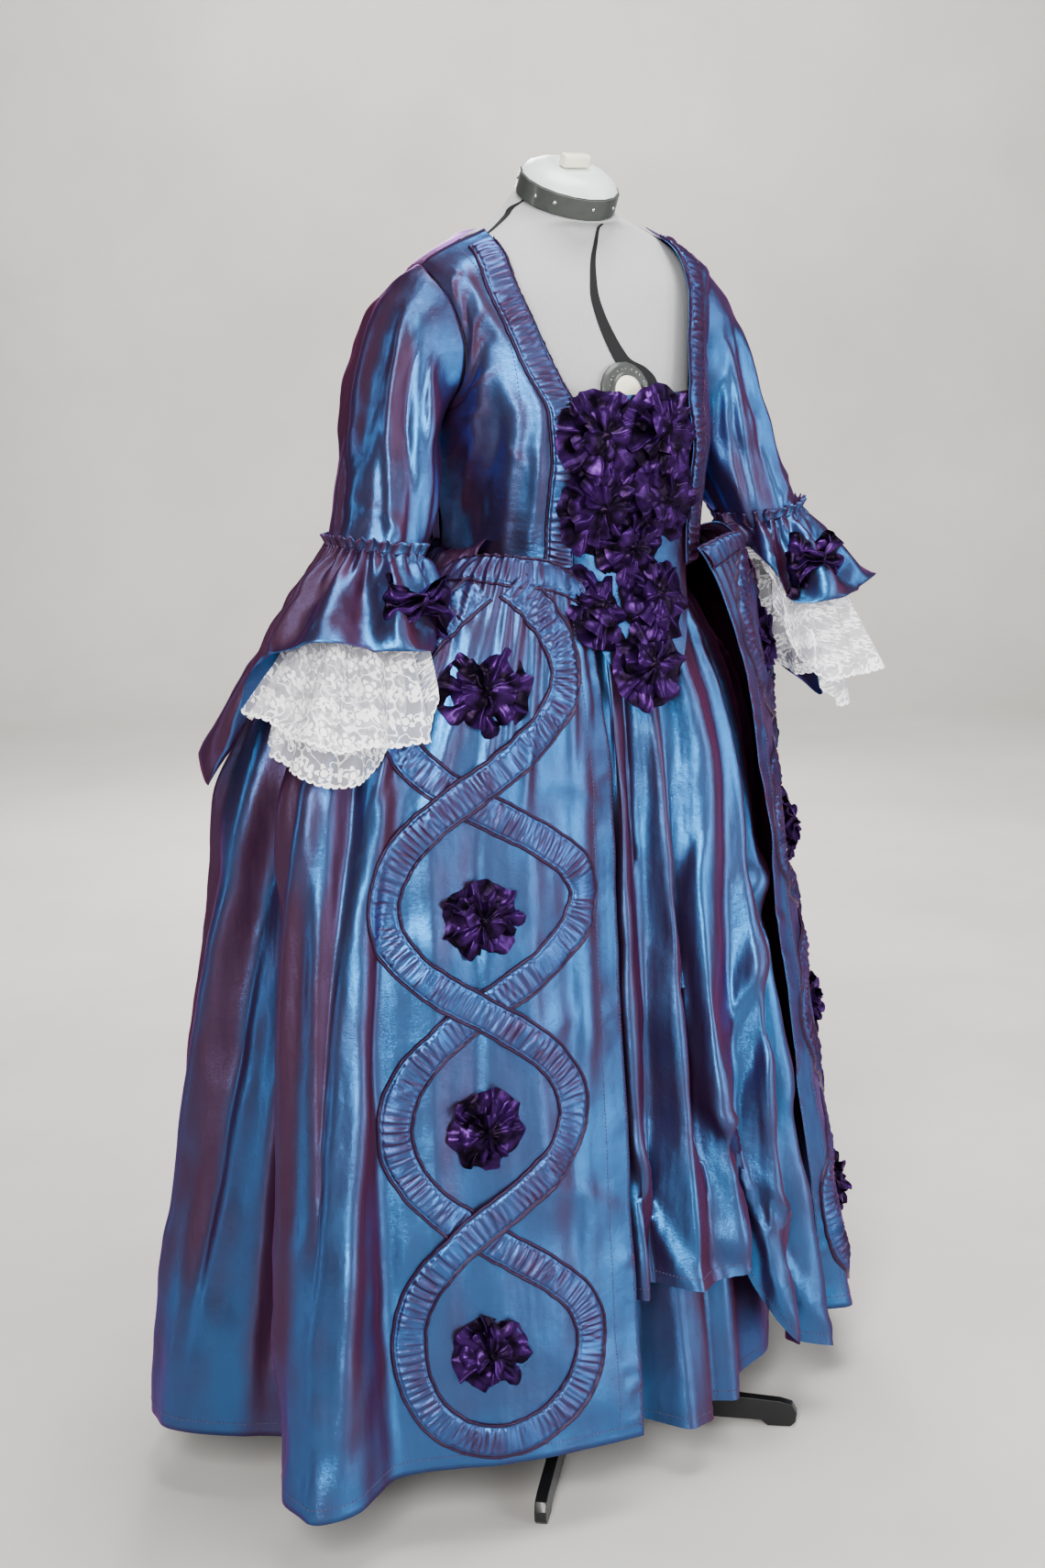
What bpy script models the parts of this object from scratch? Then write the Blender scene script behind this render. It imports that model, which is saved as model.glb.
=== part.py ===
"""Robe a la francaise worn on a limbless dress form with a four-legged stand.

Metres, +Z up. The wearer faces -Y, so the wearer's right is -X. Every point is first worked out
about the form's upright axis; one empty then moves the whole piece so that the middle of its
footprint lies on the origin.
"""
import math

import bmesh
import bpy
from mathutils import Vector
from mathutils.bvhtree import BVHTree

# ---------------------------------------------------------------- driving dimensions
NAME = "robe_a_la_francaise"
FOOTPRINT_SHIFT = (-0.0065, -0.1125, 0.0)  # from the form's axis to the middle of the footprint

CLOTH = 0.0015          # wall of one layer of taffeta
LACE = 0.0010           # wall of one layer of lace
SEAM = 0.0005           # gap between two pieces that are sewn together
LIFT = 0.0009           # height of a trim's underside over the cloth that it lies on
SQUARENESS = 2.3        # exponent of the body's rounded sections
SEAT_STEP = 0.0004      # one move of a trim that is lifted off the cloth below it
SEAT_ROUNDS = 120

RIBBON_WIDTH = 0.032    # ruched ribbon of the skirt fronts
RIBBON_THICK = 0.0026
ROBING_WIDTH = 0.030    # ruched robings down the bodice
ROBING_THICK = 0.0028
BAND_WIDTH = 0.030      # ruched band along the waist
BAND_THICK = 0.0030
BAND_DOWN = 0.002       # from the waist seam to its upper edge

POLE_RADIUS = 0.014
LEG_REACH = 0.276       # from the pole to the end of a foot
LEG_WIDTH = 0.014
LEG_ANGLE = 46          # degrees of the front feet to either side of the front
DIAL_RADIUS = 0.034
DIAL_HEIGHT = 1.268
DIAL_SINK = 0.0004      # its middle lies this far inside the round of the chest
NECK_TILT = 25          # degrees that the neck leans forward


# ---------------------------------------------------------------- tables
# The dress form: half width and depths of each level section.
FORM_COLUMNS = ("height", "half_width", "front", "back")
FORM_SECTIONS = (
    (0.850, 0.118, 0.072, 0.092),
    (0.875, 0.134, 0.080, 0.102),
    (0.930, 0.140, 0.084, 0.104),
    (1.000, 0.124, 0.085, 0.092),
    (1.060, 0.118, 0.092, 0.084),
    (1.120, 0.128, 0.102, 0.094),
    (1.190, 0.144, 0.118, 0.104),
    (1.230, 0.151, 0.120, 0.108),
    (1.285, 0.158, 0.108, 0.110),
    (1.340, 0.170, 0.093, 0.104),
    (1.385, 0.181, 0.079, 0.094),
    (1.4065, 0.177, 0.064, 0.077),
    (1.4304, 0.145, 0.050, 0.060),
    (1.4473, 0.106, 0.047, 0.056),
    (1.460, 0.078, 0.050, 0.055),
    (1.469, 0.062, 0.054, 0.055),
    (1.477, 0.0555, 0.0555, 0.0555),
)
NECK_TOP = (0.0, -0.008, 1.477)
NECK_FOOT = 1.448       # the sections lean more and more from here up to the neck's top

# The bodice: the same sections with the ease of the gown over the form.
BODICE_COLUMNS = FORM_COLUMNS
BODICE_SECTIONS = (
    (1.040, 0.160, 0.135, 0.126),
    (1.075, 0.157, 0.135, 0.125),
    (1.100, 0.156, 0.136, 0.125),
    (1.150, 0.159, 0.142, 0.125),
    (1.210, 0.166, 0.148, 0.126),
    (1.260, 0.171, 0.139, 0.125),
    (1.310, 0.179, 0.122, 0.121),
    (1.360, 0.190, 0.105, 0.113),
    (1.395, 0.197, 0.089, 0.102),
    (1.415, 0.187, 0.077, 0.090),
    (1.435, 0.148, 0.067, 0.079),
    (1.452, 0.106, 0.061, 0.070),
    (1.468, 0.078, 0.058, 0.064),
)

# Front opening of the bodice: half the width between its two edges.
OPENING_COLUMNS = ("height", "half_width")
OPENING = (
    (1.070, 0.081), (1.140, 0.081), (1.200, 0.080), (1.255, 0.080),
    (1.285, 0.090), (1.340, 0.106), (1.400, 0.121), (1.448, 0.114),
)
NECK_CORNER = (90, 1.448)       # angle and height where the neckline crosses the shoulder seam
SHOULDER_TIP = (90, 1.409)
NECK_BACK = 1.430
ARMHOLE_EASE = 1.2      # degrees that the back stops short of the sleeve's edge
WAIST_FRONT = 1.072             # height of the waist seam at the front edge and at the side
WAIST_SIDE = 1.096
SIDE_SEAM = 100                 # degrees from the front
UNDERARM = 1.250

# The armhole from the underarm forward to the shoulder tip, and from there back to the underarm.
ARMHOLE_COLUMNS = ("angle", "height")
ARMHOLE_FRONT = ((100, 1.250), (85, 1.262), (72, 1.292), (67, 1.335), (70, 1.380), (90, 1.409))
ARMHOLE_BACK = ((100, 1.250), (111, 1.268), (117, 1.310), (116, 1.355), (108, 1.392), (90, 1.409))

# The sleeve: its outer and inner lines, the middle of its depth and half that depth.
SLEEVE_COLUMNS = ("along", "outer", "outer_height", "inner", "inner_height", "middle", "half_depth")
SLEEVE = (
    (0.00, 0.190, 1.409, 0.171, 1.250, 0.000, 0.050),
    (0.12, 0.218, 1.395, 0.178, 1.237, 0.006, 0.054),
    (0.25, 0.240, 1.360, 0.182, 1.224, 0.010, 0.058),
    (0.40, 0.260, 1.315, 0.184, 1.208, 0.011, 0.062),
    (0.55, 0.278, 1.262, 0.187, 1.188, 0.006, 0.062),
    (0.70, 0.294, 1.205, 0.197, 1.160, -0.006, 0.058),
    (0.85, 0.314, 1.145, 0.216, 1.125, -0.020, 0.052),
    (1.00, 0.332, 1.096, 0.240, 1.082, -0.031, 0.047),
)
SLEEVE_FOLDS = 7
SLEEVE_FOLD_DEPTH = 0.0030

# Flounce and lace: how far each hem hangs below the cuff seam and stands out from it, by angle from
# the front towards the outer side.
FLOUNCE_COLUMNS = ("angle", "drop", "flare")
FLOUNCE_CUFF = (
    (0, 0.086, 0.044), (50, 0.080, 0.074), (80, 0.120, 0.080), (106, 0.250, 0.070),
    (132, 0.205, 0.092), (160, 0.130, 0.058), (200, 0.080, 0.034), (240, 0.034, 0.010),
    (270, 0.022, 0.004), (300, 0.028, 0.006), (322, 0.048, 0.020), (342, 0.090, 0.038),
)
FLOUNCE_LACE = (
    (0, 0.150, 0.050), (50, 0.152, 0.076), (80, 0.134, 0.058), (106, 0.134, 0.044),
    (130, 0.140, 0.056), (148, 0.138, 0.080), (165, 0.095, 0.040), (200, 0.040, 0.004),
    (240, 0.012, -0.004), (270, 0.006, -0.006), (300, 0.010, 0.000), (320, 0.026, 0.010),
    (342, 0.115, 0.036),
)
FLOUNCE_LOWER = (
    (0, 0.110, 0.012), (50, 0.196, 0.048), (90, 0.175, 0.040), (125, 0.160, 0.030),
    (160, 0.090, 0.008), (200, 0.036, -0.006), (240, 0.010, -0.008), (270, 0.006, -0.008),
    (300, 0.008, -0.006), (320, 0.014, 0.000), (342, 0.040, 0.006),
)
LACE_DROP = 0.0012      # gap below the edge of the sleeve
BOW_COLUMNS = ("across", "half_height", "thick")
BOW = (
    (-0.034, 0.021, 0.007), (-0.026, 0.024, 0.010), (-0.013, 0.016, 0.011), (-0.006, 0.008, 0.008),
    (0.0, 0.010, 0.012), (0.006, 0.008, 0.008), (0.013, 0.016, 0.011), (0.026, 0.024, 0.010),
    (0.034, 0.021, 0.007),
)
BOW_SLOPE = 0.15
CUFF_CENTRE = (0.2865, -0.032, 1.088)
CUFF_RADIUS = 0.0520

# Folds of the skirt fronts, from the front edge round to the sack back. Each has its top on the
# waist or on the edge over the hip, its place at hip height, and its place on the hem.
FOLD_COLUMNS = ("top_x", "top_y", "top_z", "hip_x", "hip_y", "hem_x", "hem_y", "hem_z")
HIP_HEIGHT = 0.870
HIP_MIDDLE = (0.20, 0.02)
RIGHT_FOLDS = (
    (-0.084, -0.1365, 1.068, -0.060, -0.155, -0.078, -0.232, 0.092),   # front edge
    (-0.120, -0.1340, 1.094, -0.128, -0.162, -0.155, -0.222, 0.094),
    (-0.155, -0.1260, 1.102, -0.198, -0.152, -0.230, -0.198, 0.095),
    (-0.178, -0.1030, 1.104, -0.262, -0.128, -0.300, -0.166, 0.095),
    (-0.191, -0.0750, 1.100, -0.314, -0.102, -0.360, -0.142, 0.093),   # shallow valley
    (-0.199, -0.0480, 1.084, -0.354, -0.084, -0.422, -0.168, 0.086),
    (-0.208, -0.0200, 1.064, -0.382, -0.060, -0.472, -0.148, 0.080),   # corner over the hip
    (-0.203, -0.0020, 1.066, -0.382, -0.018, -0.476, -0.098, 0.085),
    (-0.184, 0.0160, 1.085, -0.358, 0.028, -0.394, 0.018, 0.085),      # deep valley
    (-0.170, 0.0350, 1.094, -0.372, 0.068, -0.452, 0.076, 0.085),
    (-0.163, 0.0550, 1.094, -0.380, 0.104, -0.495, 0.150, 0.080),      # fold behind the hip
    (-0.157, 0.0750, 1.094, -0.360, 0.150, -0.472, 0.225, 0.076),
    (-0.147, 0.1000, 1.094, -0.300, 0.206, -0.378, 0.306, 0.070),
    (-0.131, 0.1360, 1.098, -0.228, 0.250, -0.270, 0.392, 0.066),      # seam of the sack back
)
LEFT_FOLDS = (
    (0.084, -0.1365, 1.092, 0.180, -0.132, 0.314, -0.118, 0.093),      # front edge
    (0.116, -0.1330, 1.100, 0.222, -0.098, 0.353, -0.126, 0.090),
    (0.148, -0.1240, 1.104, 0.268, -0.052, 0.398, -0.072, 0.087),
    (0.176, -0.1020, 1.100, 0.312, 0.002, 0.448, 0.002, 0.085),
    (0.194, -0.0700, 1.090, 0.350, 0.060, 0.488, 0.086, 0.083),
    (0.203, -0.0340, 1.078, 0.378, 0.110, 0.508, 0.165, 0.080),        # corner over the hip
    (0.198, -0.0040, 1.080, 0.380, 0.152, 0.500, 0.232, 0.080),
    (0.180, 0.0220, 1.090, 0.344, 0.176, 0.424, 0.246, 0.080),         # valley
    (0.165, 0.0520, 1.094, 0.332, 0.212, 0.418, 0.322, 0.076),         # fold behind the hip
    (0.150, 0.0900, 1.094, 0.286, 0.236, 0.350, 0.368, 0.070),
    (0.131, 0.1360, 1.098, 0.228, 0.254, 0.272, 0.400, 0.066),         # seam of the sack back
)

# The sack back over the waist: half width, and depth at its middle and at its edges.
SACK_COLUMNS = ("height", "half_width", "middle", "edge")
SACK = (
    (1.431, 0.092, 0.0905, 0.0820),
    (1.390, 0.098, 0.1155, 0.1050),
    (1.330, 0.106, 0.1310, 0.1120),
    (1.250, 0.114, 0.1480, 0.1180),
    (1.170, 0.122, 0.1660, 0.1260),
    (1.098, 0.130, 0.1850, 0.1365),
)
SACK_BULGE_HIP = 0.036      # how far its middle stands behind its seams
SACK_BULGE_HEM = 0.050
SACK_PLEATS = 4             # ridges of the two box pleats
SACK_PLEAT_DEPTH = 0.0070

# The petticoat under the open fronts: one row for each fold, right round. The knee is the height
# of the points where its lower edge is caught up.
PETTICOAT_COLUMNS = ("top_angle", "hip_x", "hip_y", "knee_x", "knee_y", "hem_x", "hem_y", "hem_z")
KNEE_HEIGHT = 0.470
PETTICOAT = (
    (-38, -0.200, -0.132, -0.195, -0.150, -0.200, -0.160, 0.240),
    (-26, -0.115, -0.134, -0.120, -0.162, -0.125, -0.178, 0.240),
    (-19, -0.072, -0.112, -0.080, -0.136, -0.085, -0.150, 0.240),      # valley
    (-12, -0.038, -0.148, -0.044, -0.186, -0.048, -0.208, 0.240),
    (-6, -0.008, -0.118, -0.010, -0.145, -0.018, -0.172, 0.243),       # valley
    (0, 0.020, -0.151, 0.022, -0.192, 0.016, -0.228, 0.240),
    (6, 0.047, -0.114, 0.043, -0.158, 0.050, -0.218, 0.242),           # valley
    (12, 0.070, -0.130, 0.060, -0.206, 0.084, -0.234, 0.250),          # first gather point
    (18, 0.096, -0.146, 0.082, -0.186, 0.104, -0.196, 0.300),
    (24, 0.130, -0.116, 0.118, -0.162, 0.126, -0.176, 0.220),          # valley
    (31, 0.155, -0.116, 0.150, -0.194, 0.170, -0.220, 0.130),          # second gather point
    (40, 0.176, -0.082, 0.192, -0.128, 0.204, -0.168, 0.105),
    (49, 0.190, -0.088, 0.222, -0.138, 0.252, -0.200, 0.092),
    (57, 0.216, -0.056, 0.250, -0.068, 0.288, -0.096, 0.095),
    (66, 0.256, -0.014, 0.304, -0.020, 0.352, -0.060, 0.095),
    (77, 0.312, 0.050, 0.362, 0.044, 0.410, 0.022, 0.095),
    (92, 0.358, 0.116, 0.410, 0.112, 0.452, 0.106, 0.095),
    (110, 0.338, 0.154, 0.385, 0.180, 0.418, 0.196, 0.095),
    (128, 0.282, 0.198, 0.318, 0.246, 0.340, 0.290, 0.095),
    (150, 0.160, 0.240, 0.180, 0.305, 0.200, 0.362, 0.095),
    (180, 0.000, 0.252, 0.000, 0.320, 0.000, 0.375, 0.095),
    (210, -0.160, 0.236, -0.180, 0.292, -0.200, 0.345, 0.095),
    (232, -0.282, 0.186, -0.316, 0.220, -0.338, 0.250, 0.095),
    (248, -0.345, 0.120, -0.385, 0.132, -0.415, 0.146, 0.095),
    (262, -0.348, 0.052, -0.374, 0.054, -0.395, 0.058, 0.095),
    (276, -0.332, 0.010, -0.350, 0.006, -0.362, 0.004, 0.095),
    (292, -0.345, -0.050, -0.385, -0.082, -0.415, -0.102, 0.120),
    (308, -0.292, -0.092, -0.330, -0.104, -0.350, -0.112, 0.180),
)
PETTICOAT_TOP = (1.063, 0.1250, 0.0977, 0.0927)  # height, half width, front and back of its waist
PETTICOAT_SHOWN = 15        # folds in the open front, which get twice as many rows of points
KNEE_SHARE = 0.55           # how far down from the hip the knee is

# The under petticoat, whose hem shows in front: a row for each fold, right round.
UNDERSKIRT_COLUMNS = ("top_angle", "hip_x", "hip_y", "hem_x", "hem_y", "hem_z")
UNDERSKIRT = (
    (-40, -0.180, -0.100, -0.230, -0.118, 0.070),
    (-24, -0.110, -0.099, -0.120, -0.135, 0.068),
    (-12, -0.050, -0.099, -0.055, -0.150, 0.066),
    (-4, -0.020, -0.092, -0.018, -0.160, 0.064),       # valley
    (3, 0.008, -0.092, 0.010, -0.214, 0.064),
    (10, 0.035, -0.100, 0.046, -0.212, 0.064),
    (16, 0.060, -0.098, 0.070, -0.178, 0.066),         # valley
    (23, 0.090, -0.099, 0.098, -0.196, 0.066),
    (32, 0.125, -0.093, 0.140, -0.150, 0.070),         # valley
    (45, 0.162, -0.062, 0.200, -0.128, 0.072),
    (60, 0.208, -0.022, 0.268, -0.062, 0.075),
    (80, 0.290, 0.062, 0.365, 0.040, 0.075),
    (105, 0.306, 0.128, 0.380, 0.150, 0.075),
    (122, 0.250, 0.168, 0.310, 0.228, 0.075),
    (140, 0.176, 0.195, 0.220, 0.290, 0.075),
    (160, 0.090, 0.210, 0.112, 0.313, 0.075),
    (180, 0.000, 0.215, 0.000, 0.320, 0.075),
    (200, -0.090, 0.206, -0.112, 0.302, 0.075),
    (220, -0.176, 0.188, -0.220, 0.270, 0.075),
    (238, -0.248, 0.144, -0.298, 0.202, 0.075),
    (255, -0.305, 0.092, -0.360, 0.120, 0.075),
    (285, -0.298, -0.030, -0.330, -0.040, 0.075),
    (305, -0.250, -0.078, -0.300, -0.086, 0.075),
)
UNDERSKIRT_TOP = (1.060, 0.1228, 0.0953, 0.0898)
UNDERSKIRT_SHOWN = 10

# The stomacher: half width, and the depth of its middle.
STOMACHER_COLUMNS = ("height", "half_width", "depth")
STOMACHER = (
    (1.267, 0.098, -0.1335), (1.210, 0.098, -0.1440), (1.150, 0.096, -0.1385), (1.100, 0.094, -0.1325),
    (1.062, 0.088, -0.1345), (1.020, 0.073, -0.1450), (0.985, 0.058, -0.1540), (0.955, 0.040, -0.1610),
    (0.937, 0.022, -0.1650), (0.929, 0.006, -0.1665),
)
STOMACHER_CURVE = 2.0       # depth lost for each square metre away from the middle
STOMACHER_FLAT = 0.068      # from here outwards it also drops back, to pass under the bodice
STOMACHER_TUCK = 0.32

# Rosettes: place of each middle and its free radius.
ROSETTE_COLUMNS = ("across", "height", "radius")
STOMACHER_ROSETTES = (
    (-0.052, 1.226, 0.042), (0.029, 1.224, 0.041), (-0.053, 1.146, 0.041), (0.030, 1.152, 0.042),
    (-0.014, 1.101, 0.038), (-0.054, 1.042, 0.040), (0.014, 1.044, 0.041), (-0.006, 0.974, 0.038),
)
SKIRT_ROSETTE_COLUMNS = ("share", "height", "radius")    # share of the panel from its front edge
SKIRT_ROSETTES = ((0.49, 0.961, 0.050), (0.485, 0.716, 0.045), (0.485, 0.483, 0.044), (0.48, 0.227, 0.044))
ROSETTE_HEIGHT = 0.020
ROSETTE_PETALS = 6
ROSETTE_PROFILE = ((0.55, 0.0), (0.92, 0.0), (1.0, 0.35), (0.72, 0.86), (0.34, 0.72))   # share out, height

# The ruched ribbon of a skirt front: heights where its two strands cross, then its middle line and
# how far it swings to either side of it, as shares of the panel's width.
RIBBON_TOP = 1.046
RIBBON_CROSSINGS = (0.850, 0.614, 0.366)
RIBBON_BOTTOM = 0.123
RIBBON_LINE_COLUMNS = ("height", "middle", "swing")
RIBBON_LINE = (
    (1.046, 0.500, 0.350), (0.940, 0.535, 0.355), (0.850, 0.545, 0.355), (0.730, 0.490, 0.355),
    (0.614, 0.495, 0.345), (0.490, 0.498, 0.296), (0.366, 0.520, 0.305), (0.240, 0.455, 0.288),
    (0.123, 0.445, 0.288),
)
RIBBON_HOP = 0.0052         # how far the upper strand rises over the lower one at a crossing
RIBBON_HOP_RUN = 0.042      # half the length over which it rises
RIBBON_STEPS = 8           # segments for each loop's side
PANEL_FOLDS = 5.0           # the panel runs from the front edge to this fold row


# ---------------------------------------------------------------- numbers along tables
def column(columns, table, name):
    """One named column of a table, as a list."""
    index = columns.index(name)
    return [row[index] for row in table]


def smooth(keys, values, key):
    """Value at key on a smooth curve through the values that never overshoots them."""
    if keys[0] > keys[-1]:
        keys, values = keys[::-1], values[::-1]
    key = min(max(key, keys[0]), keys[-1])
    last = len(keys) - 2
    i = next((k for k in range(last) if key < keys[k + 1]), last)
    steps = [b - a for a, b in zip(keys, keys[1:])]
    rises = [(b - a) / step for a, b, step in zip(values, values[1:], steps)]

    def slope(k):
        if k == 0 or k == len(keys) - 1:
            return rises[0] if k == 0 else rises[-1]
        before, after = rises[k - 1], rises[k]
        return 2 * before * after / (before + after) if before * after > 0 else 0.0

    t = (key - keys[i]) / steps[i]
    start = values[i] * (1 + 2 * t) * (1 - t) ** 2 + slope(i) * steps[i] * t * (1 - t) ** 2
    end = values[i + 1] * t * t * (3 - 2 * t) + slope(i + 1) * steps[i] * t * t * (t - 1)
    return start + end


def look_up(columns, table, key_name, name, key):
    """Smooth value of one column at a key in another column."""
    return smooth(column(columns, table, key_name), column(columns, table, name), key)


def mix(a, b, share):
    """Straight blend from a to b."""
    return a + (b - a) * share


def ease(share):
    """Soft step from 0 to 1."""
    share = min(max(share, 0.0), 1.0)
    return share * share * (3 - 2 * share)


# ---------------------------------------------------------------- objects and materials
def clear_scene():
    """Remove everything that a new file holds."""
    for item in list(bpy.data.objects):
        bpy.data.objects.remove(item)


def material(name, colour, roughness, metallic=0.0):
    """A Principled material of one colour."""
    made = bpy.data.materials.new(name)
    made.use_nodes = True
    shader = made.node_tree.nodes["Principled BSDF"]
    shader.inputs["Base Color"].default_value = (*colour, 1)
    shader.inputs["Roughness"].default_value = roughness
    shader.inputs["Metallic"].default_value = metallic
    made.diffuse_color = (*colour, 1)
    return made


def add_object(name, mesh, finish):
    """Put a mesh into the model under the common parent."""
    item = bpy.data.objects.new(name, mesh)
    mesh.materials.append(finish)
    mesh.shade_smooth()
    MODEL.objects.link(item)
    item.parent = FOOTPRINT
    return item


def faces_of_rows(count, wide, wrap, caps):
    """Triangles that join rows of points; wrap closes each row, caps closes both ends."""
    faces = []
    for r in range(count - 1):
        for c in range(wide if wrap else wide - 1):
            here, beside = r * wide + c, r * wide + (c + 1) % wide
            faces.append((here, beside, beside + wide))
            faces.append((here, beside + wide, here + wide))
    if caps:
        last = (count - 1) * wide
        for k in range(1, wide - 1):
            faces.append((0, k + 1, k))
            faces.append((last, last + k, last + k + 1))
    return faces


def mesh_from_rows(name, rows, wrap, caps=False):
    """A surface through rows of points."""
    mesh = bpy.data.meshes.new(name)
    points = [point for row in rows for point in row]
    mesh.from_pydata(points, [], faces_of_rows(len(rows), len(rows[0]), wrap, caps))
    return mesh


def outer_face(names):
    """Search trees of the outer faces of pieces that are already in the model."""
    trees = []
    for name in names:
        mesh = bpy.data.objects[name].data
        faces = [tuple(face.vertices) for face in mesh.polygons]
        trees.append(BVHTree.FromPolygons([corner.co.copy() for corner in mesh.vertices], faces))
    return trees


def seated(rows, outs, groups, names, gap, wrap, caps):
    """Rows of points with each touching group lifted until it stands off the named pieces.

    outs holds the way out of each point and groups the number of the group that it moves with.
    """
    wide = len(rows[0])
    faces = faces_of_rows(len(rows), wide, wrap, caps)
    points = [point.copy() for row in rows for point in row]
    outs = [out for row in outs for out in row]
    groups = [group for row in groups for group in row]
    others = outer_face(names)
    for _ in range(SEAT_ROUNDS):
        lowered = BVHTree.FromPolygons([point - out * gap for point, out in zip(points, outs)], faces)
        touching = {face for other in others for face, _ in lowered.overlap(other)}
        if not touching:
            break
        moving = {groups[corner] for face in touching for corner in faces[face]}
        for k, group in enumerate(groups):
            if group in moving:
                points[k] += outs[k] * SEAT_STEP
    return [points[k:k + wide] for k in range(0, len(points), wide)]


def turn_outwards(mesh, centre):
    """Flip a surface whose faces look towards the line or point that it surrounds."""
    out = 0
    for face in mesh.polygons:
        out += (face.center - Vector(centre(face.center))).dot(face.normal) * face.area
    if out < 0:
        mesh.flip_normals()


def body_axis(point):
    """The point of the form's upright axis level with a point."""
    return 0, 0.05, point.z


def cloth(name, rows, finish, wrap=False, thick=CLOTH, centre=body_axis):
    """A wall of cloth through rows of points, which lie on its outer face."""
    mesh = mesh_from_rows(name, rows, wrap)
    turn_outwards(mesh, centre)
    item = add_object(name, mesh, finish)
    wall = item.modifiers.new("wall", "SOLIDIFY")
    wall.thickness = thick
    wall.offset = -1
    return item


def solid(name, rows, finish):
    """A closed body lofted through rings of points."""
    mesh = mesh_from_rows(name, rows, wrap=True, caps=True)
    shell = bmesh.new()
    shell.from_mesh(mesh)
    bmesh.ops.recalc_face_normals(shell, faces=shell.faces)
    shell.to_mesh(mesh)
    shell.free()
    return add_object(name, mesh, finish)


def normal_of(surface, u, v, step=0.004):
    """Unit normal of a surface that is given as a function of two numbers."""
    across = surface(u + step, v) - surface(u - step, v)
    along = surface(u, v + step) - surface(u, v - step)
    return across.cross(along).normalized()


def lifted(surface, u, v, height, side):
    """Point at a height over the outer face of a surface."""
    return surface(u, v) + normal_of(surface, u, v) * height * side


# ---------------------------------------------------------------- dress form and stand
def rounded_point(half_width, front, back, angle, height):
    """Point of a rounded oblong, by angle from the front towards the wearer's right."""
    s, c = math.sin(math.radians(angle)), math.cos(math.radians(angle))
    power = 2 / SQUARENESS
    depth = front if c > 0 else back
    x = -math.copysign(half_width * abs(s) ** power, s)
    y = -math.copysign(depth * abs(c) ** power, c)
    return Vector((x, y, height))


def section_point(columns, table, angle, height, grow=0.0):
    """Point of a body section, by angle from the front towards the wearer's right."""
    sizes = [look_up(columns, table, "height", name, height) + grow for name in ("half_width", "front", "back")]
    return rounded_point(*sizes, angle, height)


def build_form(finish):
    """The torso from its open lower end to the leaning neck."""
    segments = 24
    angles = [360 * k / segments for k in range(segments)]
    rows = []
    for height in column(FORM_COLUMNS, FORM_SECTIONS, "height"):
        rows.append([section_point(FORM_COLUMNS, FORM_SECTIONS, angle, height) for angle in angles])
    tilt = math.tan(math.radians(NECK_TILT))
    for row in rows:
        lean = max((row[0].z - NECK_FOOT) / (NECK_TOP[2] - NECK_FOOT), 0)
        for point in row:
            point.y += NECK_TOP[1] * lean
            point.z += (point.y - NECK_TOP[1] * lean) * tilt * lean
    solid("form_body", rows, finish)


def turned(name, profile, finish, segments=18):
    """A turned piece from a profile of (radius, height) pairs that ends on its axis."""
    mesh = bpy.data.meshes.new(name)
    points = [(radius, 0, height) for radius, height in profile]
    mesh.from_pydata(points, [(k, k + 1) for k in range(len(points) - 1)], [])
    item = add_object(name, mesh, finish)
    spin = item.modifiers.new("spin", "SCREW")
    spin.steps = spin.render_steps = segments
    spin.use_merge_vertices = True
    spin.merge_threshold = 0.0001
    return item


def lean_on_neck(item, height):
    """Seat a turned piece over the neck, in line with its lean."""
    lean = math.radians(NECK_TILT)
    item.rotation_euler = (lean, 0, 0)
    item.location = Vector(NECK_TOP) + Vector((0, -math.sin(lean), math.cos(lean))) * height


def build_neck_fittings(collar_finish, cap_finish, knob_finish):
    """Collar band, domed cap and knob, stacked on the neck."""
    collar_height = 0.023
    radius = 0.0575
    outline = [(0, collar_height), (radius, collar_height), (radius, 0), (0, 0)]
    collar = turned("form_band", outline, collar_finish)
    lean_on_neck(collar, SEAM)
    dome = [(0, 0.0150), (0.021, 0.0150), (0.023, 0.0165), (0.030, 0.0160), (0.042, 0.0125),
            (0.052, 0.0060), (0.0555, 0), (0, 0)]
    cap = turned("form_cap", dome, cap_finish)
    lean_on_neck(cap, collar_height + 2 * SEAM)
    knob = box("form_knob", (0.036, 0.013, 0.015), knob_finish, bevel=0.003)
    lean_on_neck(knob, collar_height + 0.0150 + 0.0075 + 3 * SEAM)


def box(name, size, finish, bevel):
    """A box with rounded edges, centred on its own origin."""
    shape = bmesh.new()
    bmesh.ops.create_cube(shape, size=1)
    bmesh.ops.scale(shape, vec=size, verts=shape.verts)
    mesh = bpy.data.meshes.new(name)
    shape.to_mesh(mesh)
    shape.free()
    item = add_object(name, mesh, finish)
    rounding = item.modifiers.new("rounding", "BEVEL")
    rounding.width = bevel
    rounding.segments = 2
    return item


def build_dial(finish):
    """The round adjuster on the chest, leaning as the chest does."""
    profile = [(0, 0.0085), (0.021, 0.0085), (0.022, 0.0065), (0.030, 0.0065), (DIAL_RADIUS, 0.0035),
               (DIAL_RADIUS, 0), (0, 0)]
    dial = turned("form_dial", profile, finish)
    chest = section_point(FORM_COLUMNS, FORM_SECTIONS, 0, DIAL_HEIGHT)
    dial.rotation_euler = (math.radians(90 - 13), 0, 0)
    dial.location = chest + Vector((0, DIAL_SINK, 0))


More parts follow.
